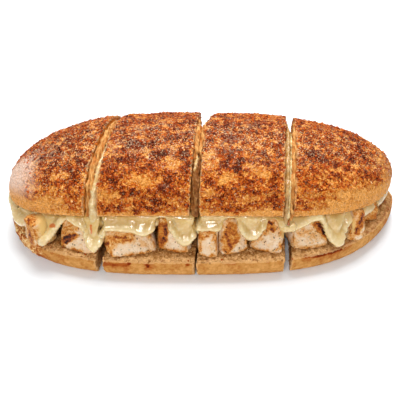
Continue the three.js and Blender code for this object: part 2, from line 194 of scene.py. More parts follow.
class Finish:
    """A material, built from nodes."""

    def __init__(self, name):
        self.material = bpy.data.materials.new(name)
        self.material.use_nodes = True
        self.tree = self.material.node_tree
        self.tree.nodes.clear()
        self.place = self.node("ShaderNodeTexCoord", output="Object")
        self.shifted = self.node(
            "ShaderNodeMapping", None, {"Vector": self.place, "Location": PATTERN_SHIFT},
        )

    def node(self, kind, settings=None, inputs=None, output=0):
        """Adds a node with its settings and the values or links of its sockets."""
        made = self.tree.nodes.new(kind)
        for key, value in (settings or {}).items():
            if key == "stops":
                self.set_stops(made.color_ramp, value)
            else:
                setattr(made, key, value)
        for key, value in (inputs or {}).items():
            if isinstance(value, Value):
                self.tree.links.new(value.socket, made.inputs[key])
            else:
                made.inputs[key].default_value = value
        return Value(self, made.outputs[output]) if made.outputs else None

    @staticmethod
    def set_stops(ramp, stops):
        """Gives a colour ramp its stops."""
        while len(ramp.elements) < len(stops):
            ramp.elements.new(1.0)
        for element, (position, colour) in zip(ramp.elements, stops):
            element.position = position
            element.color = (*colour, 1)

    def noise(self, size, detail=3.0, roughness=0.5, place=None):
        """Cloudy noise from 0 to 1 with bumps of about that size."""
        return self.node(
            "ShaderNodeTexNoise", None,
            {"Vector": place or self.place, "Scale": 1 / size, "Detail": detail, "Roughness": roughness},
        )

    def cells(self, size, place=None):
        """The distance to the nearest of points scattered about that far apart, as a share of it."""
        return self.node(
            "ShaderNodeTexVoronoi", {"feature": "F1"}, {"Vector": place or self.place, "Scale": 1 / size},
        )

    def stretched(self, scale):
        """Object coordinates, shrunk or stretched along each axis."""
        return self.node("ShaderNodeMapping", None, {"Vector": self.place, "Scale": scale})

    def painted(self, name):
        """A value that the piece's own mesh carries at each of its points."""
        return self.node("ShaderNodeAttribute", {"attribute_name": name}, output="Fac")

    def smooth(self, value, start, end):
        """0 at start and 1 at end, with a soft step between. end may lie below start."""
        return self.node(
            "ShaderNodeMapRange", {"interpolation_type": "SMOOTHSTEP"},
            {"Value": value, "From Min": start, "From Max": end},
        )

    def ramp(self, value, stops):
        """The colour at that value, between stops that each hold a value and a colour."""
        return self.node("ShaderNodeValToRGB", {"stops": stops}, {"Fac": value})

    def mix(self, share, first, second):
        """The first colour, and the second where share is 1."""
        def opaque(colour):
            return colour if isinstance(colour, Value) else (*colour, 1)
        return self.node(
            "ShaderNodeMix", {"data_type": "RGBA"},
            {0: share, 6: opaque(first), 7: opaque(second)}, output=2,
        )

    def mix_numbers(self, share, first, second):
        """The first number, and the second where share is 1."""
        return self.node("ShaderNodeMix", {"data_type": "FLOAT"}, {0: share, 2: first, 3: second})

    def bump(self, height, distance, strength=1.0):
        """Relief that stands up by distance where height is 1."""
        return self.node(
            "ShaderNodeBump", None, {"Height": height, "Distance": distance, "Strength": strength},
        )

    def surface(self, **inputs):
        """Ends the material in a Principled shader. Names have _ for each space."""
        named = {key.replace("_", " "): value for key, value in inputs.items()}
        shader = self.node("ShaderNodeBsdfPrincipled", None, named)
        self.node("ShaderNodeOutputMaterial", None, {"Surface": shader})
        return self.material


# Shaping

# Points nearer to each other than this, in m, are one.
MERGE_DISTANCE = 1e-5
# Keeps a length that something is divided by from being 0.
TINY = 1e-12
# How many of its own bumps the noise moves on by for each seed.
SEED_STEP = 13.7


def select_only(piece):
    """Makes a piece the only selected one, and active."""
    bpy.ops.object.select_all(action="DESELECT")
    piece.select_set(True)
    bpy.context.view_layer.objects.active = piece


def apply_modifier(piece, kind, **settings):
    """Applies a modifier with those settings to a piece."""
    select_only(piece)
    modifier = piece.modifiers.new(kind.title(), kind)
    for key, value in settings.items():
        setattr(modifier, key, value)
    bpy.ops.object.modifier_apply(modifier=modifier.name)


def fine_copy(node, name, voxel, relax):
    """A copy of a CAD node, merged and then divided evenly into small faces."""
    piece = bpy.data.objects.new(name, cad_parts[node].data.copy())
    bpy.context.scene.collection.objects.link(piece)
    piece.data.materials.clear()
    select_only(piece)
    bpy.ops.object.mode_set(mode="EDIT")
    bpy.ops.mesh.select_all(action="SELECT")
    bpy.ops.mesh.remove_doubles(threshold=MERGE_DISTANCE)
    bpy.ops.object.mode_set(mode="OBJECT")
    apply_modifier(piece, "REMESH", mode="VOXEL", voxel_size=voxel)
    apply_modifier(piece, "SMOOTH", factor=0.5, iterations=relax)
    bpy.ops.object.shade_smooth()
    return piece


def points_of(mesh):
    """The place of each point of a mesh, in m, one to a row."""
    flat = np.empty(3 * len(mesh.vertices))
    mesh.vertices.foreach_get("co", flat)
    return flat.reshape(-1, 3)


def normals_of(mesh):
    """The outward direction at each point of a mesh, one to a row."""
    flat = np.empty(3 * len(mesh.vertices))
    mesh.vertex_normals.foreach_get("vector", flat)
    return flat.reshape(-1, 3)


def move_points(piece, points):
    """Puts each point of a piece in its new place."""
    piece.data.vertices.foreach_set("co", points.ravel())
    piece.data.update()


def raise_surface(piece, lift, lowest=-math.inf):
    """Moves each point outwards by its lift, and none below the lowest height."""
    moved = points_of(piece.data) + normals_of(piece.data) * lift[:, None]
    moved[:, 2] = np.maximum(moved[:, 2], lowest)
    move_points(piece, moved)


def paint(piece, name, values):
    """Stores a value at each point of the mesh, for its material."""
    layer = piece.data.attributes.new(name, "FLOAT", "POINT")
    layer.data.foreach_set("value", values.astype(np.float32))


def clouds(points, size, seed, octaves=3):
    """Noise around 0 with bumps of about that size."""
    moved = points / size + seed * SEED_STEP
    return np.array([noise.fractal(point, 1.0, 2.0, octaves) for point in moved.tolist()])


def pits(points, size, seed):
    """The distance to the nearest of points scattered about that far apart, as a share of it."""
    moved = points / size + seed * SEED_STEP
    return np.array([noise.voronoi(point)[0][0] for point in moved.tolist()])


def rise(values, start, end):
    """0 at start and 1 at end, with a soft step between. end may lie below start."""
    share = np.clip((values - start) / (end - start), 0, 1)
    return share * share * (3 - 2 * share)


def wear(piece, finish, slot, *nodes):
    """Gives a finished piece its material and its place in the part."""
    piece.data.materials.append(finish)
    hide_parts(*nodes)
    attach(piece, BODY)


# Marks

# The marks are strokes in the photo's frame of 400 by 400 pixels. A row holds how far
# right and down one end lies, the same of the other end, the half width, all in pixels, and how strong
# the mark is from 0 to 1.
PHOTO_SIZE = 400
# The marks lie on a plane before the camera, this far from it.
PLANE_DISTANCE = 300 * MM
# A stroke has its full strength up to the first of these shares of its half width, and ends at the second.
STROKE_FADE = (0.4, 1.4)
# The size of the bends in the strokes' ragged edges.
RAGGED_SIZE = 2 * MM

# Grill marks on the chunks in front
SEARED = (
    # The left slice's first chunk
    (29, 216, 31, 246, 3.2, 0.5), (28, 219, 28.5, 224, 1.2, 0.85), (29.5, 230, 30, 236, 1.3, 0.8),
    (31.5, 240, 32, 244, 1.2, 0.7),
    # The left slice's second chunk
    (64, 232, 76, 228, 3.5, 0.42), (64, 240, 74, 236, 4, 0.6), (65, 238, 70, 236, 2.2, 1),
    (66, 242, 70, 240, 1.8, 0.95), (72, 236, 75, 235, 1.6, 0.8), (64, 228, 74, 225, 1, 0.6),
    (60, 228, 60, 238, 1.2, 0.7), (70, 250, 78, 253, 0.8, 0.3),
    # The second slice's first chunk
    (106, 240, 130, 238, 5, 0.42), (108, 249, 112, 246, 4, 0.4), (106, 244, 108, 243, 1.8, 0.9),
    (114, 237.5, 126, 237.5, 1.3, 0.75), (120, 241, 130, 240, 1.5, 0.55), (132, 240, 142, 244, 3, 0.22),
    (143, 243, 150, 247, 2, 0.25),
    # The second slice's second chunk
    (162, 226, 161, 244, 4, 0.6), (166, 225, 164, 240, 3.5, 0.65), (165, 229, 166, 235, 1.8, 0.98),
    (163, 238, 165, 241, 1.5, 0.85), (161, 245, 163, 248, 2, 0.4),
    # The third slice's first chunk
    (200, 240, 200, 256, 1.5, 0.4), (202, 238, 208, 236, 1, 0.6), (215, 238, 217, 254, 0.8, 0.25),
    # The third slice's second chunk
    (226, 240, 232, 227, 5.5, 0.5), (228, 248, 236, 236, 5, 0.5), (225, 232, 231, 248, 1.8, 0.78),
    (230, 228, 236, 240, 1.5, 0.62), (234, 244, 238, 242, 1.2, 0.55), (224, 250, 228, 252, 1, 0.6),
    # The third slice's third chunk
    (268, 224, 273, 228, 4.2, 0.5), (262, 234, 270, 230, 3, 0.38), (269, 222, 272, 224, 1.6, 0.92),
    (271, 229, 273, 231, 1.4, 0.85), (253, 246, 262, 238, 2, 0.3), (277, 250, 283, 247, 1.6, 0.35),
    # The right slice's first chunk
    (315, 221, 329, 237, 4.9, 0.58), (294, 239, 296.5, 249, 3.6, 0.34),
    (299.5, 231, 314.5, 234.5, 5.5, 0.3), (301.5, 250.5, 327.5, 245.5, 3, 0.36),
    (318, 224, 321, 227, 1.8, 0.9), (322, 230, 325, 234, 1.8, 0.98), (327, 236, 330, 239, 1.4, 0.95),
    (299, 250, 302, 252, 0.9, 0.7), (304, 232, 312, 240, 1, 0.25), (310, 244, 321, 240, 0.8, 0.25),
    # The right slice's second chunk
    (352.5, 219.5, 352.5, 239, 3.6, 0.36), (350, 225, 350, 238, 1.8, 0.4),
    (363, 216, 357, 232, 3.3, 0.64), (362, 218, 360, 224, 1.1, 1), (358, 228, 356, 234, 1, 0.9),
)

# Browned spots on the cheese
BROWNED_CHEESE = (
    (50, 226, 54, 225, 2, 0.9), (91, 225, 91, 233, 1.3, 0.9), (14.5, 226, 17.5, 226, 1.8, 0.8),
    (287.5, 219, 288.5, 224, 1.4, 1), (24, 222, 26, 240, 1.5, 0.4), (101, 246, 101.5, 254, 0.8, 0.35),
)

# Toasted marks on the bottom half's crust
TOASTED_BASE = (
    # Along the second slice
    (104, 264.5, 126, 265, 1.6, 0.62), (128.5, 264, 128.5, 264, 1.5, 0.9),
    (147, 265.5, 148, 265.5, 1.8, 0.9), (187, 265, 188, 265, 1.2, 0.7), (184, 264, 190, 266, 2, 0.3),
    # Along the right slice's rim
    (306, 257, 318, 256, 1.5, 0.7), (318, 256, 330, 252.5, 1.5, 0.85), (330, 252.5, 343, 247.5, 1.8, 0.85),
    (343, 247.5, 350, 242.5, 1.5, 0.7), (333, 249.5, 334, 249.5, 1.3, 0.95),
    # Specks at the right tip
    (380, 206, 380, 206, 1.3, 0.9), (385, 202, 385.5, 202, 1.4, 0.9), (388, 208, 388, 208, 1.3, 0.9),
    (385, 214, 385, 214, 1.2, 0.9), (381, 220, 381, 220, 1.2, 0.8), (368, 232, 368, 232, 1.2, 0.8),
    # The right tip's rim
    (393, 195, 388, 210, 3, 0.5), (388, 210, 372, 232, 2.2, 0.35),
    # The left tip's rim
    (18, 232, 30, 250, 2, 0.5), (30, 250, 50, 262, 1.4, 0.5),
    # Beside the cuts
    (279, 262, 283, 260, 1.5, 0.35), (103, 258, 104, 262, 1.2, 0.8),
    # The left slice
    (62, 256, 80, 258, 1.2, 0.3),
    # Specks at the left tip
    (26, 246, 26.5, 246.5, 1.6, 0.95), (37, 256, 37.5, 256.5, 1.6, 0.95),
    (48.5, 262, 53.5, 264, 1.5, 0.85),
)

# Cheese that coats the chunks
COATED = (
    (42.5, 219, 45, 232.5, 6.5, 1), (50.5, 220.5, 51.5, 236, 5.9, 1), (22, 214, 29, 213, 3, 1),
    (85, 229, 90, 236, 4.5, 0.9), (186, 226, 188, 240, 5, 0.9), (283, 225, 283, 236, 2.2, 0.8),
    (353.5, 220, 353.5, 231, 1.4, 0.8), (345, 226, 345, 236, 2.4, 0.6), (338, 222, 341, 232, 2.5, 0.9),
    (300, 221, 312, 222, 2, 0.9), (262, 222, 266, 220, 2, 0.8),
)

# Cheese baked onto the bottom half's left tip
DRAPED = (
    (15.5, 213, 21, 230, 4.2, 1), (21, 230, 29.5, 243.5, 4.9, 1), (29.5, 243.5, 37.5, 252.5, 4.2, 0.9),
)

# Cheese smeared down the first cut
SMEARED = (
    (103, 140, 98, 160, 0.9, 0.9), (98.5, 160, 94, 178, 1.8, 1), (93, 178, 92.5, 218, 3.2, 1),
)


def camera_aim():
    """Where the camera looks, and the direction from there back to it."""
    look = bpy.context.scene.sub_stage
    target = LOAF_MIDDLE + Vector((look.target_x, 0, look.target_z))
    back = Vector((0, -math.cos(look.elevation), math.sin(look.elevation)))
    return target, back


def on_view_plane(points):
    """How far right and up each point lies, as the camera sees it."""
    target, back = camera_aim()
    up = Vector((0, back.z, -back.y))
    away = points - np.array(target + back * bpy.context.scene.sub_stage.distance)
    depth = -(away @ np.array(back))
    return away[:, 0] / depth * PLANE_DISTANCE, away @ np.array(up) / depth * PLANE_DISTANCE


def pixel_size():
    """What one of the photo's pixels measures on the marks' plane."""
    return PLANE_DISTANCE * SENSOR_WIDTH / (bpy.context.scene.sub_stage.lens * PHOTO_SIZE)


def strokes(points, marks, ragged, spread=1.0):
    """The strongest mark at each point, with edges as ragged as that. spread widens every mark."""
    right, up = on_view_plane(points)
    right = right + ragged * clouds(points, RAGGED_SIZE, seed=31, octaves=2)
    up = up + ragged * clouds(points, RAGGED_SIZE, seed=32, octaves=2)
    full, end = STROKE_FADE
    pixel = pixel_size()
    middle = PHOTO_SIZE / 2
    strongest = np.zeros(len(points))
    for x1, y1, x2, y2, half_width, strength in marks:
        reach = half_width * spread * pixel
        start = np.array((x1 - middle, middle - y1)) * pixel
        along = np.array((x2 - x1, y1 - y2)) * pixel
        from_start = np.stack([right, up], axis=1) - start
        share = np.clip(from_start @ along / max(along @ along, TINY), 0, 1)
        distance = np.linalg.norm(from_start - share[:, None] * along, axis=1)
        strongest = np.maximum(strongest, strength * rise(distance, end * reach, full * reach))
    return strongest


# The roll

# A face is flat against an axis if its normal lies along it by this share.
FLAT_NORMAL = 0.93
# The crust frays this near to a cut.
RIM_WIDTH = 1.6 * MM
# Depths under the surface between which the crust ends and the crumb begins, in each half.
TOP_CRUST = (0.6 * MM, 1.3 * MM)
BOTTOM_CRUST = (0.6 * MM, 1.4 * MM)
# Distances from a pore's middle, as shares of the spacing, between which its wall falls.
PORE_WALL = (0.45, 0.1)
# How high torn crumb stands up, and the size of its bumps.
TORN_HEIGHT = 0.35 * MM
TORN_SIZE = 2.2 * MM
# How thick the cheese smeared over the crumb is.
SMEAR_HEIGHT = 0.9 * MM
# The spacing of the top crust's clumps, and the size of its lumps.
CLUMP_SPACING = 2.7 * MM
LUMP_SIZE = 2.4 * MM
# How browned the bottom crust is before all else, how much that varies, and how much more browned it is
# at its left end and round its toasted marks.
BASE_TOAST = 0.26
BASE_VARIES = 0.12
BASE_LEFT_END = 0.04
BASE_HALO = 0.14
# How many times as wide as their own widths the toasted marks are, and the brown round them.
BASE_MARK_SPREAD = 1.4
BASE_HALO_SPREAD = 3.5
# How deep the bottom half's pores are, as a share of the top half's.
BASE_PORE_SHARE = 0.6
# How high the bottom crust's swells are, and how far its rims fray inwards and the cheese baked onto it
# stands out, each evenly and by noise.
BASE_SWELL = 0.15 * MM
FRAYED = (0.35 * MM, 1.1 * MM)
BAKED_ON = (0.6 * MM, 0.9 * MM)


def cad_faces(node):
    """Corner points and outward normal of each face of a CAD node."""
    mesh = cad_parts[node].data
    points = points_of(mesh)
    return [([points[i] for i in face.vertices], face.normal.copy()) for face in mesh.polygons]


def is_cut(normal, number):
    """Whether a face of a slice was left by the knife."""
    faces_left = number > 1 and normal.x < -FLAT_NORMAL
    faces_right = number < len(SLICES) and normal.x > FLAT_NORMAL
    return faces_left or faces_right


def crust_and_cut(points, node, number, inner):
    """How far each point lies from the crust, and how far from the faces that a knife opened.

    inner is 1 or -1, the side where the roll was split open.
    """
    groups = {True: ([], []), False: ([], [])}
    for face, normal in cad_faces(node):
        corners, faces = groups[is_cut(normal, number) or normal.z * inner > FLAT_NORMAL]
        faces.append(tuple(range(len(corners), len(corners) + len(face))))
        corners.extend(face)
    distances = []
    for opened in (False, True):
        tree = BVHTree.FromPolygons(*groups[opened])
        distances.append(np.array([tree.find_nearest(point)[3] for point in points.tolist()]))
    return distances


# The top half's shape, for places on its crust: its reach from the middle to a tip, its half width and
# middle across, the height of its rim and how far that falls to the tips, and its crown above the rim.
TOP_REACH = 130 * MM
TOP_HALF_WIDTH = 49.3 * MM
TOP_CENTRE = 6 * MM
TOP_RIM = 41.8 * MM
TOP_RIM_FALL = 15 * MM
TOP_CROWN = 27.8 * MM
# The powers by which its width, rim and crown change along it, and its section's front and back curve.
WIDTH_POWER = 3.5
FALL_POWER = 2.4
CROWN_POWER = 4
CROWN_ROOT = 0.38
FRONT_ROUND = 2.24
BACK_ROUND = 1.81
# The last share of the way to a tip that is worked out.
LAST_SHARE = 0.999
# What a whole turn round the crust, from rim to rim, measures.
TURN_LENGTH = 120 * MM


def top_rim(x):
    """The half width of the top half at its rim there, and the rim's height."""
    share = np.clip(np.abs(x) / TOP_REACH, 0, LAST_SHARE)
    half_width = TOP_HALF_WIDTH * np.sqrt(1 - share ** WIDTH_POWER)
    return half_width, TOP_RIM - TOP_RIM_FALL * share ** FALL_POWER


def turn_round_crust(points):
    """0 at the front rim, 0.5 at the crown and 1 at the rear rim."""
    share = np.clip(np.abs(points[:, 0]) / TOP_REACH, 0, LAST_SHARE)
    crown = TOP_CROWN * (1 - share ** CROWN_POWER) ** CROWN_ROOT
    half_width, rim = top_rim(points[:, 0])
    up = np.maximum(points[:, 2] - rim, 0) / crown
    return np.arctan2(up, -(points[:, 1] - TOP_CENTRE) / half_width) / math.pi


# Patches on the top crust: mm along the roll, turn round the crust, half length in
# mm, half height in turns, and how much darker (over 0) or paler (under 0) the crust is there.
TOASTED = (
    # The left slice
    (-77, 0.25, 6, 0.05, 0.4), (-79, 0.3, 5, 0.03, 0.3), (-76, 0.16, 4, 0.03, 0.4),
    (-82, 0.09, 7, 0.03, 0.2), (-87, 0.065, 2.5, 0.02, 0.4), (-79, 0.085, 3, 0.03, 0.3),
    (-90, 0.335, 7, 0.04, 0.3), (-75, 0.34, 5, 0.03, 0.3), (-92, 0.41, 9, 0.03, 0.35),
    (-83, 0.44, 7, 0.025, 0.25), (-97, 0.3, 7, 0.05, 0.2), (-93, 0.235, 8, 0.02, 0.25),
    (-103, 0.18, 5, 0.02, 0.25), (-108, 0.14, 3, 0.02, 0.2), (-108, 0.47, 9, 0.012, 0.35),
    (-114, 0.43, 5, 0.012, 0.4), (-92, 0.53, 9, 0.015, 0.2), (-78, 0.56, 10, 0.02, 0.2),
    (-88, 0.27, 7, 0.022, -0.35), (-73, 0.5, 5, 0.02, -0.4), (-100, 0.45, 9, 0.02, -0.15),
    (-95, 0.16, 8, 0.04, -0.2), (-100, 0.08, 12, 0.05, -0.2), (-66, 0.04, 6, 0.03, -0.25),
    # The second slice
    (-50, 0.325, 8, 0.022, 0.5), (-40, 0.335, 12, 0.018, 0.35), (-47, 0.365, 5, 0.025, 0.25),
    (-43, 0.42, 6, 0.035, 0.35), (-36, 0.415, 6, 0.02, 0.35), (-29, 0.35, 5, 0.03, 0.4),
    (-57, 0.27, 4, 0.03, 0.45), (-53, 0.235, 6, 0.025, 0.35), (-45, 0.28, 5, 0.015, 0.4),
    (-31, 0.29, 4, 0.02, 0.3), (-25, 0.195, 6, 0.035, 0.5), (-21, 0.17, 6, 0.03, 0.35),
    (-12, 0.29, 3.5, 0.05, 0.45), (-12, 0.36, 3.5, 0.03, 0.3), (-14, 0.225, 4, 0.025, 0.4),
    (-16, 0.15, 5, 0.03, 0.35), (-32, 0.165, 3, 0.03, 0.35), (-44, 0.16, 6, 0.02, 0.25),
    (-31, 0.07, 4.5, 0.045, 0.55), (-39, 0.1, 4, 0.03, 0.35), (-41, 0.05, 2.6, 0.022, 0.45),
    (-28, 0.115, 5, 0.025, 0.35), (-23, 0.05, 4, 0.02, 0.3), (-54, 0.085, 7, 0.03, 0.25),
    (-59, 0.05, 2, 0.025, 0.35), (-61, 0.1, 2, 0.02, 0.3), (-12, 0.09, 2.2, 0.018, 0.45),
    (-11, 0.47, 7, 0.012, 0.4), (-12, 0.55, 9, 0.012, 0.35), (-20, 0.63, 12, 0.012, 0.25),
    (-52, 0.56, 6, 0.02, 0.25), (-33, 0.6, 8, 0.015, 0.2), (-22, 0.25, 3, 0.02, 0.3),
    (-38, 0.22, 10, 0.035, -0.45), (-20, 0.315, 5.5, 0.035, -0.5), (-16, 0.395, 7, 0.03, -0.45),
    (-56, 0.415, 6, 0.025, -0.4), (-56, 0.36, 5, 0.015, -0.35), (-38, 0.378, 6, 0.015, -0.4),
    (-28, 0.385, 3, 0.02, -0.35), (-57, 0.16, 8, 0.045, -0.3), (-46, 0.11, 2.5, 0.06, -0.35),
    (-50, 0.3, 8, 0.012, -0.3), (-36, 0.03, 2.5, 0.03, -0.4), (-47, 0.03, 3, 0.04, -0.35),
    (-15, 0.04, 8, 0.03, -0.2), (-42, 0.27, 6, 0.015, -0.2),
    # The third slice
    (8, 0.5, 4.5, 0.045, 0.35), (14, 0.435, 7, 0.025, 0.2), (14, 0.365, 5, 0.02, 0.2),
    (16, 0.325, 7, 0.025, 0.4), (11, 0.3, 5, 0.025, 0.3), (28, 0.175, 4.5, 0.02, 0.5),
    (39, 0.19, 4.5, 0.035, 0.45), (43, 0.31, 3, 0.02, 0.45), (41, 0.37, 2.5, 0.02, 0.35),
    (41, 0.13, 3.5, 0.02, 0.5), (40, 0.085, 3, 0.035, 0.4), (34, 0.11, 5, 0.02, 0.3),
    (19, 0.22, 7, 0.035, 0.3), (25, 0.21, 5, 0.02, 0.2), (18, 0.27, 4, 0.02, 0.3),
    (10, 0.135, 8, 0.03, 0.3), (5, 0.09, 4, 0.03, 0.3), (10, 0.055, 4, 0.02, 0.35),
    (15, 0.085, 7, 0.025, 0.3), (23, 0.1, 5, 0.03, 0.2), (35, 0.315, 5, 0.012, 0.4),
    (8, 0.18, 2.2, 0.012, 0.4), (6, 0.27, 4, 0.015, 0.25), (36, 0.565, 9, 0.015, 0.3),
    (43, 0.24, 4, 0.02, 0.4), (33, 0.5, 3, 0.015, 0.25), (45, 0.43, 4, 0.03, 0.25),
    (11, 0.24, 6.5, 0.032, -0.55), (8, 0.21, 5, 0.02, -0.4), (3, 0.31, 5, 0.045, -0.45),
    (2, 0.355, 4, 0.02, -0.4), (2, 0.175, 4, 0.025, -0.3), (28, 0.275, 7, 0.03, -0.4),
    (33, 0.25, 4, 0.02, -0.3), (22, 0.3, 3, 0.015, -0.35), (33, 0.035, 10, 0.028, -0.45),
    (46, 0.02, 5, 0.02, -0.3), (30, 0.47, 10, 0.04, -0.2), (40, 0.42, 6, 0.04, -0.12),
    # The right slice
    (66, 0.365, 7, 0.025, 0.5), (62, 0.38, 4, 0.02, 0.35), (69, 0.34, 6, 0.025, 0.35),
    (76, 0.39, 5, 0.018, 0.35), (79, 0.335, 4, 0.022, 0.4), (84, 0.41, 5, 0.015, 0.35),
    (89, 0.395, 5, 0.018, 0.3), (77, 0.27, 3, 0.02, 0.55), (72, 0.225, 2.5, 0.015, 0.5),
    (62, 0.285, 6, 0.025, 0.3), (60, 0.235, 5, 0.03, 0.25), (96, 0.28, 3, 0.028, 0.5),
    (100, 0.255, 4, 0.015, 0.35), (104, 0.29, 3, 0.02, 0.4), (107, 0.255, 3, 0.028, 0.5),
    (97, 0.5, 2.2, 0.07, 0.4), (100, 0.41, 3, 0.04, 0.35), (84, 0.22, 5, 0.025, 0.35),
    (78, 0.19, 4, 0.02, 0.25), (68, 0.185, 5, 0.018, 0.35), (67, 0.14, 2.5, 0.015, 0.3),
    (75, 0.12, 3, 0.02, 0.3), (56, 0.1, 3, 0.02, 0.35), (58, 0.055, 2.2, 0.012, 0.35),
    (79, 0.115, 3, 0.015, 0.25), (88, 0.11, 2, 0.012, 0.25), (86, 0.06, 1.5, 0.012, 0.3),
    (93, 0.345, 6, 0.025, -0.4), (78, 0.305, 5, 0.015, -0.35), (61, 0.43, 4, 0.025, -0.35),
    (56, 0.38, 2.5, 0.04, -0.35), (60, 0.145, 4, 0.025, -0.2), (85, 0.15, 9, 0.03, -0.1),
)
# Dusty grey scorches: place and size as above, and how strong.
SCORCHED = (
    # The second slice
    (-43, 0.42, 6, 0.035, 0.8), (-47, 0.365, 5, 0.02, 0.6), (-40, 0.52, 9, 0.03, 0.45),
    (-12, 0.47, 7, 0.02, 0.4), (-24, 0.195, 3, 0.015, 0.5),
    # The third slice
    (14, 0.44, 6, 0.02, 1), (8, 0.5, 4, 0.03, 0.7), (17, 0.475, 5, 0.02, 0.7), (14, 0.365, 4, 0.02, 0.8),
    (33, 0.365, 4, 0.02, 0.6), (36, 0.315, 4, 0.01, 0.4), (28, 0.55, 10, 0.03, 0.3),
    # The left slice
    (-98, 0.44, 9, 0.03, 0.8), (-93, 0.4, 7, 0.02, 0.7), (-100, 0.38, 6, 0.02, 0.5),
    (-105, 0.47, 8, 0.02, 0.5),
    # The right slice
    (66, 0.37, 6, 0.02, 0.45), (80, 0.355, 4, 0.015, 0.4),
)


# The share of their strengths that the darker and the paler patches have.
DARKER_SHARE = 0.62
PALER_SHARE = 0.55
# A pale patch has a browned ring round it: how strong, how far out and how wide, as shares.
RING_SHARE = 0.35
RING_PLACE = 1.6
RING_WIDTH = 0.4
# How browned the top crust is before all else, from 0 to 1.
EVEN_TOAST = 0.345
# Wide changes of that: by how much, between which mm along the roll they set in, and between which turns
# round the crust. None is everywhere.
BROWNING = {
    "upper front": (0.1, None, (0.24, 0.36)),
    "crown": (0.1, None, (0.35, 0.5)),
    "front rim": (-0.34, None, (0.05, 0.015)),
    "rear rim": (-0.34, None, (0.95, 0.985)),
    "rear": (-0.16, None, (0.62, 0.8)),
    "left tip": (-0.3, (-108, -122), (0.6, 0.4)),
    "right tip": (-0.24, (100, 118), None),
    # The low fronts are paler, partly painted light on crust that faces down and forwards.
    "low front of the right slice": (-0.4, (60, 84), (0.24, 0.12)),
    "low front of the left slice": (-0.3, (-66, -88), (0.18, 0.09)),
}
# How far noise shifts the patches, along the roll and in turns, so that none is a plain oval.
PATCH_WARP = 2.2 * MM
PATCH_WARP_TURN = 0.016
# How strong the streaks along the roll are, and how many times they are as long as wide.
STREAKY = 0.2
STREAK_LENGTHENED = 7
# How strong the mottling is, how much more mottled the crust is over the crown, and how strong the finer
# mottling of the left end is.
MOTTLED = 0.2
MORE_MOTTLED = 0.16
FINELY_MOTTLED = 0.22
# How strongly the flakes carry a painted highlight at least, how much more over the crown, and how much
# more at the left end.
FLAKE_HIGHLIGHTS = 0.3
MORE_FLAKE_HIGHLIGHTS = 0.6
FLAKE_HIGHLIGHTS_END = 0.45
# How strong a painted sheen in the dust colour is over its crown.
CROWN_SHEEN = 0.34


def patches(along, turn, places, darker=1.0, paler=1.0):
    """The sum of soft patches at these places, with that share of their strengths."""
    total = np.zeros_like(along)
    for at, at_turn, half_length, half_turn, strength in places:
        away = ((along - at * MM) / (half_length * MM)) ** 2 + ((turn - at_turn) / half_turn) ** 2
        total += strength * (darker if strength > 0 else paler) * np.exp(-away)
        if strength < 0:
            total -= RING_SHARE * strength * np.exp(-((np.sqrt(away) - RING_PLACE) / RING_WIDTH) ** 2)
    return total


def browning(along, turn):
    """How browned the crust is there, apart from its patches."""
    toast = EVEN_TOAST + 0 * turn
    for change, stretch, band in BROWNING.values():
        if stretch:
            start, end = stretch
            change = change * rise(along, start * MM, end * MM)
        toast += change * rise(turn, *band) if band else change
    return toast


def toast_top(piece, points):
    """Paints how far the top crust is browned, floured and scorched, where a painted sheen lies over the
    crown, and where its flakes carry a painted highlight.
    """
    turn = turn_round_crust(points)
    on_loaf = np.stack([points[:, 0], turn * TURN_LENGTH, 0 * turn], axis=1)
    streaks = on_loaf / (STREAK_LENGTHENED, 1, 1)
    along = points[:, 0] + PATCH_WARP * clouds(on_loaf, 6 * MM, seed=1, octaves=2)
    bent = turn + PATCH_WARP_TURN * clouds(on_loaf, 6 * MM, seed=2, octaves=2)
    calm = 1 - 0.65 * rise(np.abs(along), 105 * MM, 120 * MM)
    left_end = rise(along, -60 * MM, -72 * MM)
    mottled = MOTTLED + MORE_MOTTLED * rise(turn, 0.26, 0.4)
    finely = FINELY_MOTTLED * left_end * rise(turn, 0.12, 0.25)
    toast = browning(along, turn) + patches(along, bent, TOASTED, DARKER_SHARE, PALER_SHARE)
    toast += STREAKY * rise(turn, 0.33, 0.5) * clouds(streaks, 2.6 * MM, seed=3)
    toast += mottled * calm * clouds(on_loaf, 5 * MM, seed=4, octaves=4)
    toast += finely * calm * clouds(on_loaf, 3 * MM, seed=14)
    # Where the flakes carry a painted highlight: most over the crown and at the left end.
    flaky = FLAKE_HIGHLIGHTS + MORE_FLAKE_HIGHLIGHTS * rise(turn, 0.2, 0.4) * rise(np.abs(turn - 0.45), 0.2, 0.05)
    flaky += FLAKE_HIGHLIGHTS_END * left_end * rise(turn, 0.1, 0.25)
    # Scorch patches, and over the crown a painted sheen in the dust colour.
    scorch = patches(along, bent, SCORCHED) + CROWN_SHEEN * rise(turn, 0.22, 0.38) * rise(turn, 0.85, 0.6)
    flour = rise(along, -98 * MM, -118 * MM) * rise(np.abs(turn - 0.32), 0.24, 0.06)
    paint(piece, "toast", np.clip(toast, 0, 1))
    paint(piece, "scorch", np.clip(scorch, 0, 1))
    paint(piece, "flour", flour)
    paint(piece, "flaky", flaky * calm)
    return toast


def bread_noise(finish):
    """Noise of three sizes, from fine to coarse."""
    grit = finish.smooth(finish.noise(1.1 * MM, 1.0, 0.5), 0.4, 0.6)
    grain = finish.smooth(finish.noise(2 * MM, 2.0, 0.6), 0.42, 0.58)
    blotch = finish.smooth(finish.noise(3.6 * MM, 4.0, 0.6), 0.41, 0.59)
    return grit, grain, blotch


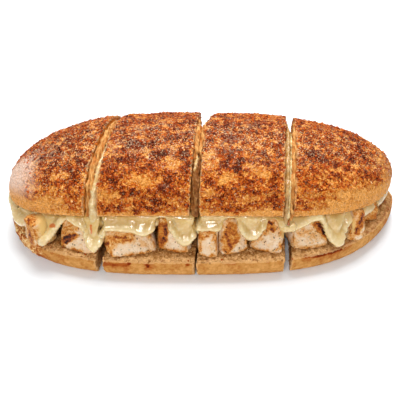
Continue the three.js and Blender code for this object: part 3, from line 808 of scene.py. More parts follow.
def top_crust(finish, look, grit, grain, blotch):
    """The colour and the height of the top half's mottled crust, and where it has pale flakes, which are
    glossy and carry a painted highlight.
    """
    toast = finish.painted("toast")
    busy = 0.25 + 0.6 * finish.smooth(toast, 0.15, 0.45) + 0.5 * finish.painted("flaky")
    grime = (grain - 0.5) * 0.32 + (blotch - 0.5) * 0.34 + (grit - 0.5) * 0.34
    tone = finish.ramp(toast + finish.painted("lump") * 0.3 + grime * busy, (
        (0.0, look.pale), (0.24, look.golden), (0.48, look.orange), (0.74, look.red_brown),
        (1.0, look.dark),
    ))
    # Scorches, and the painted sheen over the crown, in the dust colour.
    tone = finish.mix(finish.painted("scorch") * (0.4 + 0.5 * blotch), tone, look.dust_and_sheen)
    tone = finish.mix(finish.painted("flour") * (0.7 + 0.3 * grit), tone, look.flour)
    specks = finish.smooth(finish.cells(2.2 * MM), 0.17, 0.1) * (0.4 + 0.6 * blotch) * busy
    tone = finish.mix(specks * 0.6, tone, look.red_brown)
    flakes = finish.smooth(finish.noise(0.9 * MM, 2.0, 0.7, finish.shifted), 0.57, 0.61)
    # Painted highlight: the pale flake colour mixed in where the flakes lie.
    tone = finish.mix(flakes * finish.painted("flaky"), tone, look.pale_flake_highlight)
    return tone, grain * 0.7 + blotch * 0.4 + grit * 0.4, flakes


def base_crust(finish, look, grain, blotch):
    """The colour and the height of the bottom half's smoother crust."""
    browned = finish.painted("toast") + (grain - 0.5) * 0.1 + (blotch - 0.5) * 0.12
    tone = finish.ramp(browned, (
        (0.0, look.base_pale), (0.3, look.base), (0.5, look.base_toasted), (0.75, look.red_brown),
        (1.0, look.dark),
    ))
    return tone, grain * 0.3 + blotch * 0.4


def open_crumb(finish, look, tone, pores, singed, grain):
    """The colour and the height of crumb of that tone.

    pores holds how strongly its wide and its fine pores are coloured, and singed the colour of its
    toasted edge. Where cheese is smeared over it, the crumb is smooth.
    """
    wide_share, fine_share = pores
    wide = finish.smooth(finish.cells(2.1 * MM), 0.42, 0.1)
    fine = finish.smooth(finish.cells(1.1 * MM), 0.5, 0.1)
    smear = finish.painted("smear")
    tone = finish.mix(wide * wide_share + fine * fine_share, tone, look.pore)
    tone = finish.mix(finish.painted("singe"), tone, singed)
    height = (1 - wide) * 0.9 + (1 - fine) * 0.4 + grain * 0.3
    return finish.mix(smear, tone, look.smear), height * (1 - smear)


def crust_over_crumb(finish, look, crust, crumb, grain):
    """The colour and the height of bread, out of those of its crust, frayed at the cuts, and its crumb."""
    ragged_depth = finish.painted("depth") + (grain - 0.5) * 0.5 * MM
    inside = finish.smooth(ragged_depth, 0.7 * MM, 1.2 * MM)
    frayed = finish.smooth(finish.painted("rim") + (grain - 0.5) * 0.5, 0.35, 0.7)
    crust_tone = finish.mix(frayed * 0.5, crust[0], look.ledge_pale)
    return finish.mix(inside, crust_tone, crumb[0]), finish.mix_numbers(inside, crust[1], crumb[1])


def top_finish(look):
    """The top half: a browned, flaky crust and pale crumb."""
    finish = Finish("Top bread")
    grit, grain, blotch = bread_noise(finish)
    tone, height, flakes = top_crust(finish, look, grit, grain, blotch)
    # The crumb on the cut faces is bright, partly painted light in the cuts.
    crumb_tone = finish.mix(blotch * 0.4, look.crumb, look.base)
    crumb = open_crumb(finish, look, crumb_tone, (0.35, 0.28), look.orange, grain)
    tone, height = crust_over_crumb(finish, look, (tone, height), crumb, grain)
    return finish.surface(
        Base_Color=tone,
        Roughness=0.6 - 0.25 * flakes - 0.35 * finish.painted("smear"),
        Specular_IOR_Level=0.02,
        Coat_Weight=flakes * 0.5,
        Coat_Roughness=0.2,
        Normal=finish.bump(height, 1.1 * MM),
    )


def bottom_finish(look):
    """The bottom half: a smooth crust, toasted crumb that darkens inwards, partly as painted shade, and
    baked cheese on it.
    """
    finish = Finish("Bottom bread")
    grit, grain, blotch = bread_noise(finish)
    crust = base_crust(finish, look, grain, blotch)
    # Painted shade: the crumb darkens from the rim inwards towards the filling.
    near_rim = 1 - finish.smooth(finish.painted("depth"), 1 * MM, 9 * MM)
    crumb_tone = finish.ramp(blotch * 0.4 + grit * 0.3 + near_rim * 0.4 + 0.02, (
        (0.0, look.ledge_dark), (0.5, look.ledge), (1.0, look.ledge_pale),
    ))
    crumb = open_crumb(finish, look, crumb_tone, (0.24, 0.14), look.red_brown, grain)
    tone, height = crust_over_crumb(finish, look, crust, crumb, grain)
    baked = finish.ramp(blotch * 0.5 + grit * 0.3 + grain * 0.2, (
        (0.1, look.smear), (0.45, look.base_pale), (0.75, look.base_toasted), (1.0, look.red_brown),
    ))
    return finish.surface(
        Base_Color=finish.mix(finish.painted("drape"), tone, baked),
        Roughness=0.6 + 0.1 * blotch - 0.35 * finish.painted("smear"),
        Specular_IOR_Level=0.02,
        Coat_Weight=grain * 0.05,
        Coat_Roughness=0.2,
        Normal=finish.bump(height, 0.25 * MM),
    )


def crumb_relief(points, pore_size, pore_depth, pore_seed, torn_seed):
    """How far torn crumb with pores of that size and depth stands up at each point."""
    holes = rise(pits(points, pore_size, pore_seed), *PORE_WALL)
    return TORN_HEIGHT * clouds(points, TORN_SIZE, torn_seed) - pore_depth * holes


class SUB_OT_top_bread(bpy.types.Operator):
    """Bakes the four slices of the top half"""

    bl_idname = "sub.top_bread"
    bl_label = "Top Bread"

    def execute(self, context):
        look = context.scene.sub_bread
        finish = top_finish(look)
        for number in SLICES:
            node = f"top_bun_{number}"
            piece = fine_copy(node, f"top_bread_{number}", look.voxel, 2)
            points = points_of(piece.data)
            depth, opened = crust_and_cut(points, node, number, inner=-1)
            inside = rise(depth, *TOP_CRUST)
            toast = toast_top(piece, points)
            rough = rise(toast, 0.15, 0.55)
            clumps = 0.55 - pits(points, CLUMP_SPACING, seed=6)
            lump = 0.9 * clumps + 0.7 * clouds(points, LUMP_SIZE, seed=5, octaves=4)
            smear = inside * strokes(points, SMEARED, 1 * MM)
            paint(piece, "depth", depth)
            paint(piece, "rim", rise(opened, RIM_WIDTH, 0))
            paint(piece, "lump", lump * rough)
            paint(piece, "singe", 0.5 * rise(depth, 6 * MM, 1 * MM))
            paint(piece, "smear", smear)
            crumb = crumb_relief(points, look.pore_size, look.pore_depth, pore_seed=6, torn_seed=7)
            lift = (1 - inside) * look.blister * lump * (0.25 + rough)
            lift += inside * crumb * (1 - smear) + SMEAR_HEIGHT * smear
            raise_surface(piece, lift)
            wear(piece, finish, "top_bread", node)
        return {"FINISHED"}


class SUB_OT_bottom_bread(bpy.types.Operator):
    """Bakes the four slices of the bottom half"""

    bl_idname = "sub.bottom_bread"
    bl_label = "Bottom Bread"

    def execute(self, context):
        look = context.scene.sub_bread
        finish = bottom_finish(look)
        for number in SLICES:
            node = f"bottom_bun_{number}"
            piece = fine_copy(node, f"bottom_bread_{number}", look.voxel, 2)
            points = points_of(piece.data)
            depth, opened = crust_and_cut(points, node, number, inner=1)
            inside = rise(depth, *BOTTOM_CRUST)
            rim = rise(opened, RIM_WIDTH, 0)
            marks = strokes(points, TOASTED_BASE, 0.5 * MM, BASE_MARK_SPREAD)
            halo = strokes(points, TOASTED_BASE, 0.8 * MM, BASE_HALO_SPREAD)
            toast = BASE_TOAST + BASE_VARIES * clouds(points, 7 * MM, seed=8)
            toast += BASE_LEFT_END * rise(points[:, 0], -50 * MM, -90 * MM) + BASE_HALO * halo
            singe = rise(clouds(points, 4 * MM, seed=9), 0.1, 0.5) * rise(depth, 3 * MM, 1 * MM)
            drape = strokes(points, DRAPED, 1.2 * MM) * rise(points[:, 2], 1 * MM, 5 * MM)
            paint(piece, "depth", depth)
            paint(piece, "rim", rim)
            paint(piece, "toast", np.clip(np.maximum(toast, marks), 0, 1))
            paint(piece, "smear", 0 * depth)
            paint(piece, "drape", drape)
            paint(piece, "singe", np.maximum(singe * 0.6, marks * 0.8))
            pore_depth = BASE_PORE_SHARE * look.pore_depth
            crumb = crumb_relief(points, look.pore_size, pore_depth, pore_seed=10, torn_seed=11)
            frayed = FRAYED[0] + FRAYED[1] * clouds(points, 3 * MM, seed=15)
            baked_on = BAKED_ON[0] + BAKED_ON[1] * clouds(points, 3 * MM, seed=16)
            lift = inside * crumb + (1 - inside) * BASE_SWELL * clouds(points, 5 * MM, seed=12)
            lift += drape * baked_on - rim * (1 - inside) * frayed
            raise_surface(piece, lift, lowest=0)
            wear(piece, finish, "bottom_bread", node)
        return {"FINISHED"}


# The filling

# The sheet of cheese is cut into columns of this width to find its lowest edge.
COLUMN = 1.2 * MM
# How high above that edge its roll is thickest, the height above and below over which the roll dies
# away, and the height and the strength of the neck above it.
ROLL_HEIGHT = 3 * MM
ROLL_HALF = 2.4 * MM
NECK_HEIGHT = 9 * MM
NECK_SHARE = 0.7
# The roll is gone at the first of these places along the sub, near its right tip, and whole at the second.
ROLL_END = (105 * MM, 85 * MM)
# The cheese there darkens from soaking between these two places, by that share.
STEEPED_END = (96 * MM, 112 * MM)
STEEPED_SHARE = 0.4
# Drips grow paler, partly as painted highlight; this sets in between these two heights, by that share.
DRIP_HEIGHTS = (32 * MM, 26 * MM)
DRIP_HIGHLIGHT = 0.6


def cheese_finish(look):
    """Glossy melted cheese, browned in spots, with pale edges partly painted highlight and dark wet parts
    partly painted shade.
    """
    finish = Finish("Melted cheese")
    slow = finish.noise(9 * MM, 2.0, 0.5)
    quick = finish.noise(2.5 * MM, 2.0, 0.5)
    tone = finish.mix(finish.smooth(slow, 0.4, 0.65), look.body, look.deep)
    rim = finish.painted("rim")
    steeped = finish.painted("steeped")
    # Darker where the cheese is wet into crumb, partly painted shade in the cuts.
    tone = finish.mix(steeped, tone, look.steeped)
    # Painted highlight: the pale colour along the rolled edges and the drips.
    tone = finish.mix(finish.smooth(quick, 0.45, 0.7) * 0.3 + rim * 0.5, tone, look.skin)
    spot = finish.smooth(finish.painted("browned") + (quick - 0.5) * 0.5, 0.15, 0.8)
    tone = finish.mix(spot, tone, look.browned)
    return finish.surface(
        Base_Color=tone,
        Roughness=0.18 + 0.14 * quick,
        Specular_IOR_Level=0.5,
        Subsurface_Weight=0.3,
        Subsurface_Radius=(1.0, 0.7, 0.3),
        Subsurface_Scale=2 * MM,
        Coat_Weight=0.8 * (1 - finish.smooth(steeped, 0, 0.4)),
        Coat_Roughness=0.11,
        Normal=finish.bump(slow + 0.5 * quick, 1.2 * MM, 0.5),
    )


def roll(points):
    """1 in the rounded roll along the sagging edge, below 0 in the neck above it, 0 further up."""
    column = np.floor(points[:, 0] / COLUMN).astype(int)
    column -= column.min()
    front = points[:, 1] < 0
    swell = np.zeros(len(points))
    for side in (front, ~front):
        lowest = np.full(column.max() + 1, np.inf)
        np.minimum.at(lowest, column[side], points[side, 2])
        above = points[side, 2] - lowest[column[side]]
        swell[side] = np.exp(-((above - ROLL_HEIGHT) / ROLL_HALF) ** 2)
        swell[side] -= NECK_SHARE * np.exp(-((above - NECK_HEIGHT) / ROLL_HALF) ** 2)
    return swell


class SUB_OT_melted_cheese(bpy.types.Operator):
    """Melts the cheese of the four slices"""

    bl_idname = "sub.melted_cheese"
    bl_label = "Melted Cheese"

    def execute(self, context):
        look = context.scene.sub_cheese
        finish = cheese_finish(look)
        for number in SLICES:
            node = f"cheese_{number}"
            piece = fine_copy(node, f"melted_cheese_{number}", look.voxel, 8)
            points = points_of(piece.data)
            swell = roll(points) * rise(points[:, 0], *ROLL_END)
            drips = DRIP_HIGHLIGHT * rise(points[:, 2], *DRIP_HEIGHTS)
            paint(piece, "browned", strokes(points, BROWNED_CHEESE, 0.3 * MM))
            # The rolled edges and the drips get the pale colour, partly painted highlight.
            paint(piece, "rim", np.clip(swell + drips, 0, 1))
            paint(piece, "steeped", STEEPED_SHARE * rise(points[:, 0], *STEEPED_END))
            ripples = clouds(points, 8 * MM, seed=13, octaves=2)
            raise_surface(piece, look.ripple * ripples + look.roll * swell)
            wear(piece, finish, "cheese", node)
        return {"FINISHED"}


# The chunks whose grill marks the photo shows.
SHOWN = ("1_1", "1_2", "2_1", "2_2", "3_1", "3_2", "3_3", "4_1", "4_2")
# Every other chunk is grilled on the side that faces up, to the rear and, in turns, left or right.
HIDDEN_SIDE = (0.3, 0.5, 0.8)
# Chunks at the tips that are golden all over, partly painted shade where they sit in shadow, and how far.
GOLDEN_SHADED = ("4_6",)
GOLDEN_SHADE = 0.45
# How far a hidden chunk's grilled side is seared, how far faces that look up are, and how far sharp edges
# are, evenly and by noise, and how wide that is.
SIDE_SEAR = 0.8
TOP_SEAR = 0.4
EDGE_SEAR = (0.36, 0.4)
EDGE_WIDTH = 4 * MM
# How many times as wide as their own widths the grill marks are.
SEARED_SPREAD = 1.25
# The cosine of the angle between two faces, under which they meet in a sharp edge.
SHARP_EDGE = 0.88
# How thick the cheese that coats a chunk is.
COAT_HEIGHT = 0.5 * MM
# How the fibres of the meat are drawn out along each axis.
MEAT_FIBRES = (1, 1, 0.35)


def edge_distance(points, node):
    """How far each point lies from the nearest sharp edge of a CAD node."""
    sides = {}
    for face, normal in cad_faces(node):
        for i, end in enumerate(face):
            pair = tuple(sorted((tuple(np.round(face[i - 1], 5)), tuple(np.round(end, 5)))))
            sides.setdefault(pair, []).append(normal)
    nearest = np.full(len(points), 1.0)
    for (start, end), normals in sides.items():
        if len(normals) < 2 or normals[0].dot(normals[1]) > SHARP_EDGE:
            continue
        along = np.array(end) - start
        share = np.clip((points - start) @ along / max(along @ along, TINY), 0, 1)
        nearest = np.minimum(nearest, np.linalg.norm(points - start - share[:, None] * along, axis=1))
    return nearest


def chicken_finish(look):
    """Pale meat, golden, seared and charred by how far it is painted so, with pepper specks."""
    finish = Finish("Grilled chicken")
    sear = finish.painted("sear")
    grain = finish.smooth(finish.noise(1.1 * MM, 2.0, 0.6), *SPECKLE)
    blotch = finish.smooth(finish.noise(3.5 * MM, 3.0, 0.6), *SPECKLE)
    pepper = finish.smooth(finish.cells(2.4 * MM), 0.24, 0.15) * (0.25 + 0.75 * blotch)
    meat = finish.mix(blotch * 0.3, look.meat, look.edge)
    broken = sear + (grain - 0.5) * 0.22 + (blotch - 0.5) * 0.25
    tone = finish.ramp(broken, (
        (0.3, look.edge), (0.56, look.sear), (0.78, look.burnt), (1.0, look.char),
    ))
    edge = finish.smooth(sear + (grain - 0.5) * 0.12 + (blotch - 0.5) * 0.12, 0.0, 0.5)
    tone = finish.mix(edge, meat, tone)
    tone = finish.mix(pepper * 0.9, tone, look.char)
    coat = finish.painted("coat")
    tone = finish.mix(coat, tone, look.coat)
    return finish.surface(
        Base_Color=tone,
        Roughness=0.42 + 0.2 * grain - 0.3 * coat,
        Specular_IOR_Level=0.2,
        Subsurface_Weight=0.08,
        Subsurface_Radius=(1.0, 0.5, 0.3),
        Subsurface_Scale=1.2 * MM,
        Normal=finish.bump((grain * 0.6 + blotch) * (1 - coat), 0.45 * MM),
    )


class SUB_OT_chicken_chunks(bpy.types.Operator):
    """Grills every chunk of chicken"""

    bl_idname = "sub.chicken_chunks"
    bl_label = "Chicken Chunks"

    def execute(self, context):
        look = context.scene.sub_chicken
        finish = chicken_finish(look)
        nodes = sorted(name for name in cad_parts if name.startswith("chicken_"))
        for count, node in enumerate(nodes):
            key = node.removeprefix("chicken_")
            piece = fine_copy(node, f"chunk_{key}", look.voxel, 2)
            points = points_of(piece.data)
            normals = normals_of(piece.data)
            if key in SHOWN:
                sear = strokes(points, SEARED, 0.6 * MM, SEARED_SPREAD)
                coat = strokes(points, COATED, 0.3 * MM)
            else:
                turned = HIDDEN_SIDE[0] * (-1) ** count
                side = Vector((turned, *HIDDEN_SIDE[1:])).normalized()
                sear = SIDE_SEAR * rise(normals @ np.array(side), 0.5, 0.9)
                coat = 0 * sear
            # Painted shade: this chunk is darkened to golden all over.
            if key in GOLDEN_SHADED:
                sear = 0 * sear + GOLDEN_SHADE
            upward = TOP_SEAR * rise(normals[:, 2], 0.4, 0.8)
            edges = EDGE_SEAR[0] + EDGE_SEAR[1] * clouds(points, 4 * MM, seed=23, octaves=2)
            edges *= rise(edge_distance(points, node), EDGE_WIDTH, 0)
            paint(piece, "sear", np.maximum.reduce([sear, upward, edges]))
            paint(piece, "coat", coat)
            fibres = clouds(points * np.array(MEAT_FIBRES), 2 * MM, seed=20 + count)
            raise_surface(piece, look.fibre * fibres * (1 - coat) + COAT_HEIGHT * coat)
            wear(piece, finish, "chicken", node)
        return {"FINISHED"}


# The cuts

# The faces that the knife left on the top half, left and right of each cut: where in mm they lie at
# the roll's middle on the rim, and how far they move for each mm across, each mm up and, behind the
# middle, each square mm across.
CUT_FACES = {
    1: ((-66.5, 0.15, 0, 0), (-59.8, 0.12, 0, 0)),
    2: ((-6.8, 0.075, 0, 0), (0.2, 0.1, -0.05, 0.0022)),
    3: ((51, 0.135, -0.08, 0), (56.1, 0.125, -0.02, 0)),
}
# Ropes of cheese and torn crumb in the cuts. Each has its cut, what it is made of, how pale it is, which
# is partly painted highlight, and how dark from soaking it is, which is partly painted shade, from 0 to 1,
# and its knots: the share of the way from the left face to the right, then in mm across the roll, below
# the crust, half width and half height.
FILLERS = {
    "cheese_strand_1": (1, "cheese", 0.8, 0.3, (
        (0.64, -42.5, 9, 2.6, 2.2), (0.64, -37, 7.5, 2.8, 2.5), (0.67, -30, 6, 2.6, 2.5),
        (0.74, -22, 5, 2, 2.5), (0.81, -12, 4.5, 1.5, 2.5), (0.84, 0, 4.5, 1.2, 2.5),
        (0.86, 12, 4.5, 1.1, 2.5), (0.9, 24, 5, 0.8, 2.5),
    )),
    "crumb_left_1": (1, "crumb", 0, 0, (
        (0.2, -40, 8, 1.8, 3), (0.24, -30, 5.5, 2.2, 3), (0.28, -18, 4.5, 2.5, 3), (0.3, -4, 4, 2.6, 3),
        (0.32, 10, 4, 2.6, 3), (0.32, 24, 4, 2.4, 3), (0.3, 38, 4.5, 2, 3),
    )),
    "crumb_left_2": (2, "crumb", 0, 0, (
        (0.22, -17, 5.5, 1.8, 3), (0.24, -8, 4, 2, 3), (0.24, 2, 3.5, 2, 3), (0.22, 10, 3.6, 1.8, 3),
        (0.14, 18, 4.5, 1.3, 3), (0.07, 28, 6, 0.8, 3),
    )),
    "crumb_right_2": (2, "crumb", 0, 0, (
        (0.78, -17, 5.5, 1.8, 3), (0.77, -8, 4, 2, 3), (0.77, 2, 3.5, 2, 3), (0.8, 10, 3.6, 1.8, 3),
        (0.87, 18, 4.5, 1.3, 3), (0.93, 28, 6, 0.8, 3),
    )),
    # A dark foot of wet crumb at the bottom of the cut, partly painted shade.
    "soaked_shaded_foot_2": (2, "crumb", 0, 0.8, (
        (0.5, -42.5, 7.5, 2.8, 2.2), (0.5, -37, 7, 3, 3), (0.5, -30, 6.5, 3.2, 3.5), (0.5, -22, 6, 3, 3),
        (0.5, -13, 6, 2.2, 2.5),
    )),
    "cheese_strand_2": (2, "cheese", 0.2, 0.4, (
        (0.3, -28, 4.2, 0.6, 1), (0.32, -24, 3.8, 0.9, 1.2), (0.4, -19, 3.6, 0.8, 1),
        (0.5, -13, 3.8, 0.6, 0.8),
    )),
    "cheese_side_3": (3, "cheese", 0.1, 0.6, (
        (0.24, -42.5, 8, 1.8, 2.5), (0.24, -34, 6, 1.8, 3), (0.24, -20, 4.5, 1.8, 3), (0.22, -5, 4, 1.7, 3),
        (0.2, 5, 4, 1.5, 3), (0.12, 14, 4.5, 1, 3), (0.06, 26, 5.5, 0.7, 3),
    )),
    "cheese_ridge_3": (3, "cheese", 0.5, 0.1, (
        (0.5, -42, 7.5, 0.8, 2), (0.5, -34, 5.2, 0.8, 2), (0.5, -20, 3.9, 0.8, 2), (0.5, -5, 3.6, 0.7, 2),
        (0.5, 5, 3.6, 0.8, 2), (0.5, 10, 5, 0.5, 1.5),
    )),
    "crumb_side_3": (3, "crumb", 0, 0, (
        (0.78, -42, 8, 1.8, 2.5), (0.78, -30, 5.5, 1.9, 3), (0.78, -15, 4.5, 1.9, 3), (0.8, 0, 4.2, 1.7, 3),
        (0.84, 8, 4.3, 1.4, 3), (0.9, 16, 5, 1, 3), (0.95, 28, 6, 0.7, 3),
    )),
    "cheese_bridge_3": (3, "cheese", 0.3, 0, (
        (-0.5, -42.6, 8, 1.6, 2), (0.1, -43.4, 8.6, 1.8, 2.3), (0.8, -43.2, 8.8, 1.8, 2.3),
        (1.5, -42.2, 8.4, 1.6, 2),
    )),
}
# A rope's corners all round, the length of its faces, and the power by which it narrows to its ends.
ROPE_SIDES = 20
ROPE_STEP = 0.7 * MM
ROPE_TAPER = 6
# How high and how wide a rope's swells are, and the finer ones of torn crumb and of cheese.
SWELLS = (0.7 * MM, 5 * MM)
CRUMB_SWELLS = (1.1 * MM, 1.4 * MM)
CHEESE_SWELLS = (0.5 * MM, 1.6 * MM)
# Torn fibres run along the cut: how fast they change along each axis.
FIBRES = (1, 0.3, 0.3)


def crust_height(x, y):
    """How high the top half's crust stands there."""
    half_width, rim = top_rim(x)
    across = min(abs(y - TOP_CENTRE) / half_width, 1)
    power = FRONT_ROUND if y < TOP_CENTRE else BACK_ROUND
    return rim + TOP_CROWN * (1 - across ** power) ** (1 / power)


def in_cut(cut, share, y, below):
    """A place in a cut, in mm, at a share of the way across it and so far below the crust."""
    left, right = CUT_FACES[cut]
    z = crust_height(left[0] * MM, y * MM) / MM - below

    def face(at, slope, lean, bow):
        return at + slope * y + lean * (z - TOP_RIM / MM) + bow * max(0, y) ** 2
    return face(*left) * (1 - share) + face(*right) * share, y, z


def rope(name, knots):
    """A rope through these places with that half width and half height, closed at both ends."""
    knots = np.array(knots) * MM
    lengths = np.linalg.norm(np.diff(knots[:, :3], axis=0), axis=1)
    reached = np.concatenate([[0], np.cumsum(lengths)])
    steps = int(reached[-1] / ROPE_STEP)
    bpy.ops.object.select_all(action="DESELECT")
    bpy.ops.mesh.primitive_grid_add(x_subdivisions=steps, y_subdivisions=ROPE_SIDES, size=1)
    piece = bpy.context.object
    piece.name = name
    piece.data.name = name
    grid = points_of(piece.data)
    share = grid[:, 0] + 0.5
    turn = grid[:, 1] * 2 * math.pi
    stations = np.linspace(0, 1, steps + 1)
    path = np.stack([np.interp(stations * reached[-1], reached, knots[:, i]) for i in range(5)], axis=1)
    ahead = np.gradient(path[:, :3], axis=0)
    ahead /= np.linalg.norm(ahead, axis=1)[:, None]
    whole_way = knots[-1, :3] - knots[0, :3]
    side = np.cross(whole_way, (0, 0, 1))
    side /= np.linalg.norm(side)
    upward = np.cross(side, ahead)
    columns = np.concatenate([path, upward], axis=1)
    here = np.stack([np.interp(share, stations, columns[:, i]) for i in range(8)], axis=1)
    full = np.sqrt(1 - np.abs(2 * share - 1) ** ROPE_TAPER)
    offset = (np.cos(turn) * here[:, 3] * full)[:, None] * side
    offset += (np.sin(turn) * here[:, 4] * full)[:, None] * here[:, 5:]
    move_points(piece, here[:, :3] + offset)
    bpy.ops.object.mode_set(mode="EDIT")
    bpy.ops.mesh.select_all(action="SELECT")
    bpy.ops.mesh.remove_doubles(threshold=MERGE_DISTANCE)
    bpy.ops.mesh.normals_make_consistent(inside=False)
    bpy.ops.object.mode_set(mode="OBJECT")
    apply_modifier(piece, "SMOOTH", factor=0.5, iterations=4)
    bpy.ops.object.shade_smooth()
    return piece


def crumb_finish(look):
    """Torn crumb, damp with melted cheese, and darker where it is wet through, which is partly painted
    shade at the bottom of a cut.
    """
    finish = Finish("Torn crumb")
    streaks = finish.stretched(FIBRES)
    blotch = finish.smooth(finish.noise(1.6 * MM, 3.0, 0.6, streaks), *SPECKLE)
    pore = finish.smooth(finish.cells(1.6 * MM, place=streaks), 0.45, 0.1)
    tone = finish.mix(blotch, look.torn, look.torn_pale)
    tone = finish.mix(pore * 0.6, tone, look.pore)
    # Darker where wet through, partly painted shade at the bottom of a cut.
    tone = finish.mix(finish.painted("steeped"), tone, look.soaked_and_shaded)
    return finish.surface(
        Base_Color=tone,
        Roughness=0.6 - 0.25 * blotch,
        Specular_IOR_Level=0.2,
        Normal=finish.bump(blotch + (1 - pore), 0.6 * MM),
    )


class SUB_OT_strands(bpy.types.Operator):
    """Pulls strands of cheese and torn crumb through the cuts"""

    bl_idname = "sub.strands"
    bl_label = "Strands"

    def execute(self, context):
        melted = bpy.data.materials.get("Melted cheese") or cheese_finish(context.scene.sub_cheese)
        torn = crumb_finish(context.scene.sub_bread)
        for name, (cut, made_of, pale, steeped, knots) in FILLERS.items():
            crumby = made_of == "crumb"
            piece = rope(name, [(*in_cut(cut, *knot[:3]), *knot[3:]) for knot in knots])
            points = points_of(piece.data)
            swell = SWELLS[0] * clouds(points, SWELLS[1], seed=41 + cut)
            if crumby:
                swell += CRUMB_SWELLS[0] * clouds(points * np.array(FIBRES), CRUMB_SWELLS[1], seed=51)
            else:
                swell += CHEESE_SWELLS[0] * clouds(points, CHEESE_SWELLS[1], seed=52, octaves=2)
            raise_surface(piece, swell)
            grain = clouds(points, 1.8 * MM, seed=53, octaves=2)
            paint(piece, "browned", 0 * swell)
            paint(piece, "rim", np.clip(pale * (1 + 1.2 * grain), 0, 1))
            paint(piece, "steeped", np.clip(steeped * (1 + 0.6 * grain), 0, 1))
            piece.data.materials.append(torn if crumby else melted)
            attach(piece, BODY)
        return {"FINISHED"}


# Scattered grains and crumbs

# How many grains each slice of the top half has, and how many crumbs each slice of the bottom half.
GRAINS = 1700
CRUMBS = 420
# Their smallest and largest radius.
GRAIN_RADII = (0.4 * MM, 0.95 * MM)
CRUMB_RADII = (0.3 * MM, 1.15 * MM)
# A grain's tint is the crust's, moved by a normal draw with this middle and spread. A crumb's is a beta
# draw, which is pale more often than dark.
GRAIN_TINT = (0.02, 0.15)
CRUMB_TINT = (1, 1.5)
# The least and the most that a corner of a lump stands out, and that a lump is drawn out along an axis.
CORNER_REACH = (0.65, 1.25)
DRAWN_OUT = (0.6, 1.3)
# The share of its height that a lump keeps, away from the surface that it lies on.
LUMP_FLATNESS = 0.6


def values_of(piece, name):
    """What paint stored on a piece."""
    values = np.empty(len(piece.data.vertices))
    piece.data.attributes[name].data.foreach_get("value", values)
    return values


def lumps(name, chooser, surface, chosen, radii, tints):
    """One mesh of small rough lumps, flattened onto the chosen points of a surface."""
    places = points_of(surface)[chosen]
    ways = normals_of(surface)[chosen]
    bpy.ops.object.select_all(action="DESELECT")
    bpy.ops.mesh.primitive_ico_sphere_add(subdivisions=1, radius=1)
    piece = bpy.context.object
    piece.name = name
    ball = points_of(piece.data)
    triangles = np.array([face.vertices[:] for face in piece.data.polygons])
    count = len(places)
    turns = np.linalg.qr(chooser.normal(size=(count, 3, 3)))[0]
    turns *= np.sign(np.linalg.det(turns))[:, None, None]
    shape = ball[None] * chooser.uniform(*CORNER_REACH, (count, len(ball), 1))
    shape *= chooser.uniform(*DRAWN_OUT, (count, 1, 3))
    shape = np.einsum("nij,nkj->nki", turns, shape)
    sunk = np.einsum("nkj,nj->nk", shape, ways)
    shape -= (1 - LUMP_FLATNESS) * sunk[:, :, None] * ways[:, None]
    points = places[:, None] + radii[:, None, None] * shape
    faces = triangles[None] + len(ball) * np.arange(count)[:, None, None]
    mesh = bpy.data.meshes.new(name)
    mesh.from_pydata(points.reshape(-1, 3).tolist(), [], faces.reshape(-1, 3).tolist())
    piece.data = mesh
    paint(piece, "tint", np.repeat(tints, len(ball)))
    return piece


def grain_finish(name, stops, roughness):
    """Lumps whose colour follows their tint."""
    finish = Finish(name)
    fine = finish.smooth(finish.noise(0.6 * MM, 2.0, 0.6), *SPECKLE)
    tone = finish.ramp(finish.painted("tint") + (fine - 0.5) * 0.2, stops)
    return finish.surface(
        Base_Color=tone,
        Roughness=roughness + 0.2 * fine,
        Specular_IOR_Level=0.1,
        Normal=finish.bump(fine, 0.15 * MM),
    )


class SUB_OT_crust_grains(bpy.types.Operator):
    """Scatters browned grains of cheese over the top crust"""

    bl_idname = "sub.crust_grains"
    bl_label = "Crust Grains"

    def execute(self, context):
        look = context.scene.sub_bread
        finish = grain_finish("Browned grains", (
            # The palest grains take the pale flake colour, partly a painted highlight.
            (0.0, look.pale_flake_highlight), (0.06, look.pale), (0.25, look.golden), (0.48, look.orange),
            (0.74, look.red_brown), (1.0, look.dark),
        ), 0.3)
        for number in SLICES:
            crust = bpy.data.objects[f"top_bread_{number}"]
            toast = values_of(crust, "toast")
            chance = rise(toast, 0.25, 0.75) * rise(values_of(crust, "depth"), 0.6 * MM, 0.3 * MM)
            chance *= 1 - 0.85 * values_of(crust, "flour")
            chooser = np.random.default_rng(number)
            chosen = chooser.choice(len(toast), GRAINS, replace=False, p=chance / chance.sum())
            radii = chooser.uniform(*GRAIN_RADII, GRAINS)
            tints = toast[chosen] + chooser.normal(*GRAIN_TINT, GRAINS)
            piece = lumps(f"crust_grains_{number}", chooser, crust.data, chosen, radii, tints)
            piece.data.materials.append(finish)
            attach(piece, BODY)
        return {"FINISHED"}


class SUB_OT_crumbs(bpy.types.Operator):
    """Scatters crumbs over the open faces of the bottom half"""

    bl_idname = "sub.crumbs"
    bl_label = "Crumbs"

    def execute(self, context):
        look = context.scene.sub_bread
        finish = grain_finish("Crumbs", (
            (0.0, look.ledge_pale), (0.4, look.ledge), (0.75, look.ledge_dark), (0.95, look.orange),
            (1.0, look.red_brown),
        ), 0.5)
        for number in SLICES:
            bread = bpy.data.objects[f"bottom_bread_{number}"]
            upward = normals_of(bread.data)[:, 2]
            chance = rise(values_of(bread, "rim"), 0.3, 0.9) * rise(upward, 0.1, 0.7)
            chooser = np.random.default_rng(10 + number)
            chosen = chooser.choice(len(upward), CRUMBS, replace=False, p=chance / chance.sum())
            radii = chooser.uniform(*CRUMB_RADII, CRUMBS)
            tints = chooser.beta(*CRUMB_TINT, CRUMBS)
            piece = lumps(f"crumbs_{number}", chooser, bread.data, chosen, radii, tints)
            piece.data.materials.append(finish)
            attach(piece, BODY)
        return {"FINISHED"}


# The stage

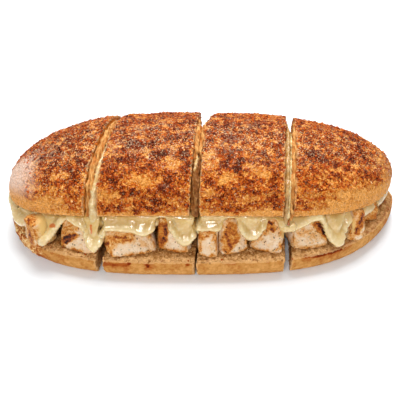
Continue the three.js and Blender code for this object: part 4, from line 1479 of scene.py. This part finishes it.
# Round lights: place and width in m, and power in W.
LIGHTS = {
    "key": ((0.02, 0.26, 0.62), 0.5, 5.45),
    "front": ((-0.1, -0.5, 0.55), 0.2, 1.8),
    "low": ((0.1, -0.6, 0.12), 0.3, 0.4),
}
# The white surroundings' strength.
SURROUNDINGS = 0.39
WHITE = (1, 1, 1, 1)
# The floor's width in m, how far it lies below the sub, and the tone of its faint clouds.
FLOOR_SIZE = 8
FLOOR_DROP = -0.2 * MM
FLOOR_CLOUDS = (0.9, 0.9, 0.9)
# How near in m the camera sees things.
NEAREST_SEEN = 0.01


def soft_light(name, place, size, power):
    """A round light of that width, turned towards the middle of the sub."""
    bpy.ops.object.light_add(type="AREA", location=place)
    light = bpy.context.object
    light.name = name
    light.data.shape = "DISK"
    light.data.size = size
    light.data.energy = power
    light.rotation_euler = (-Vector(place)).to_track_quat("-Z", "Y").to_euler()
    return light


class SUB_OT_stage(bpy.types.Operator):
    """Lays the floor and sets the lights and the camera"""

    bl_idname = "sub.stage"
    bl_label = "Stage"

    def execute(self, context):
        look = context.scene.sub_stage
        bpy.ops.object.select_all(action="DESELECT")
        bpy.ops.mesh.primitive_plane_add(size=FLOOR_SIZE, location=(0, 0, FLOOR_DROP))
        floor = context.object
        floor.name = "floor"
        finish = Finish("Floor")
        faint = finish.noise(300 * MM, 2.0, 0.5)
        tone = finish.mix(faint * 0.1, look.floor, FLOOR_CLOUDS)
        floor.data.materials.append(finish.surface(Base_Color=tone, Roughness=0.9))
        world = bpy.data.worlds.new("Studio")
        world.use_nodes = True
        background = world.node_tree.nodes["Background"]
        background.inputs["Color"].default_value = WHITE
        background.inputs["Strength"].default_value = SURROUNDINGS
        context.scene.world = world
        for name, (place, size, power) in LIGHTS.items():
            soft_light(name, place, size, power)
        target, back = camera_aim()
        bpy.ops.object.camera_add(location=target + back * look.distance)
        camera = context.object
        camera.rotation_euler = (math.pi / 2 - look.elevation, 0, 0)
        camera.data.lens = look.lens
        camera.data.sensor_width = SENSOR_WIDTH
        camera.data.clip_start = NEAREST_SEEN
        context.scene.camera = camera
        context.scene.view_settings.view_transform = "Standard"
        return {"FINISHED"}


class SUB_PT_panel(bpy.types.Panel):
    """Lists the steps that make the sub"""

    bl_idname = "SUB_PT_panel"
    bl_label = "Chicken Sub"
    bl_space_type = "VIEW_3D"
    bl_region_type = "UI"
    bl_category = "Chicken Sub"

    def draw(self, context):
        for step in STEPS:
            self.layout.operator(step.bl_idname)
        for name in LOOKS:
            group = getattr(context.scene, name)
            box = self.layout.box()
            for key in group.__annotations__:
                box.prop(group, key)


LOOKS = {
    "sub_bread": BreadLook,
    "sub_cheese": CheeseLook,
    "sub_chicken": ChickenLook,
    "sub_stage": StageLook,
}
STEPS = (
    SUB_OT_stage, SUB_OT_top_bread, SUB_OT_bottom_bread, SUB_OT_melted_cheese, SUB_OT_chicken_chunks,
    SUB_OT_strands, SUB_OT_crust_grains, SUB_OT_crumbs,
)


def register():
    """Adds the looks, the steps and the panel to the program."""
    for cls in (*LOOKS.values(), *STEPS, SUB_PT_panel):
        bpy.utils.register_class(cls)
    for name, group in LOOKS.items():
        setattr(bpy.types.Scene, name, PointerProperty(type=group))


def unregister():
    """Takes them away again."""
    for name in LOOKS:
        delattr(bpy.types.Scene, name)
    for cls in reversed((*LOOKS.values(), *STEPS, SUB_PT_panel)):
        bpy.utils.unregister_class(cls)


def main():
    """Runs every step."""
    register()
    for step in STEPS:
        family, name = step.bl_idname.split(".")
        getattr(getattr(bpy.ops, family), name)()


if __name__ == "__main__":
    main()
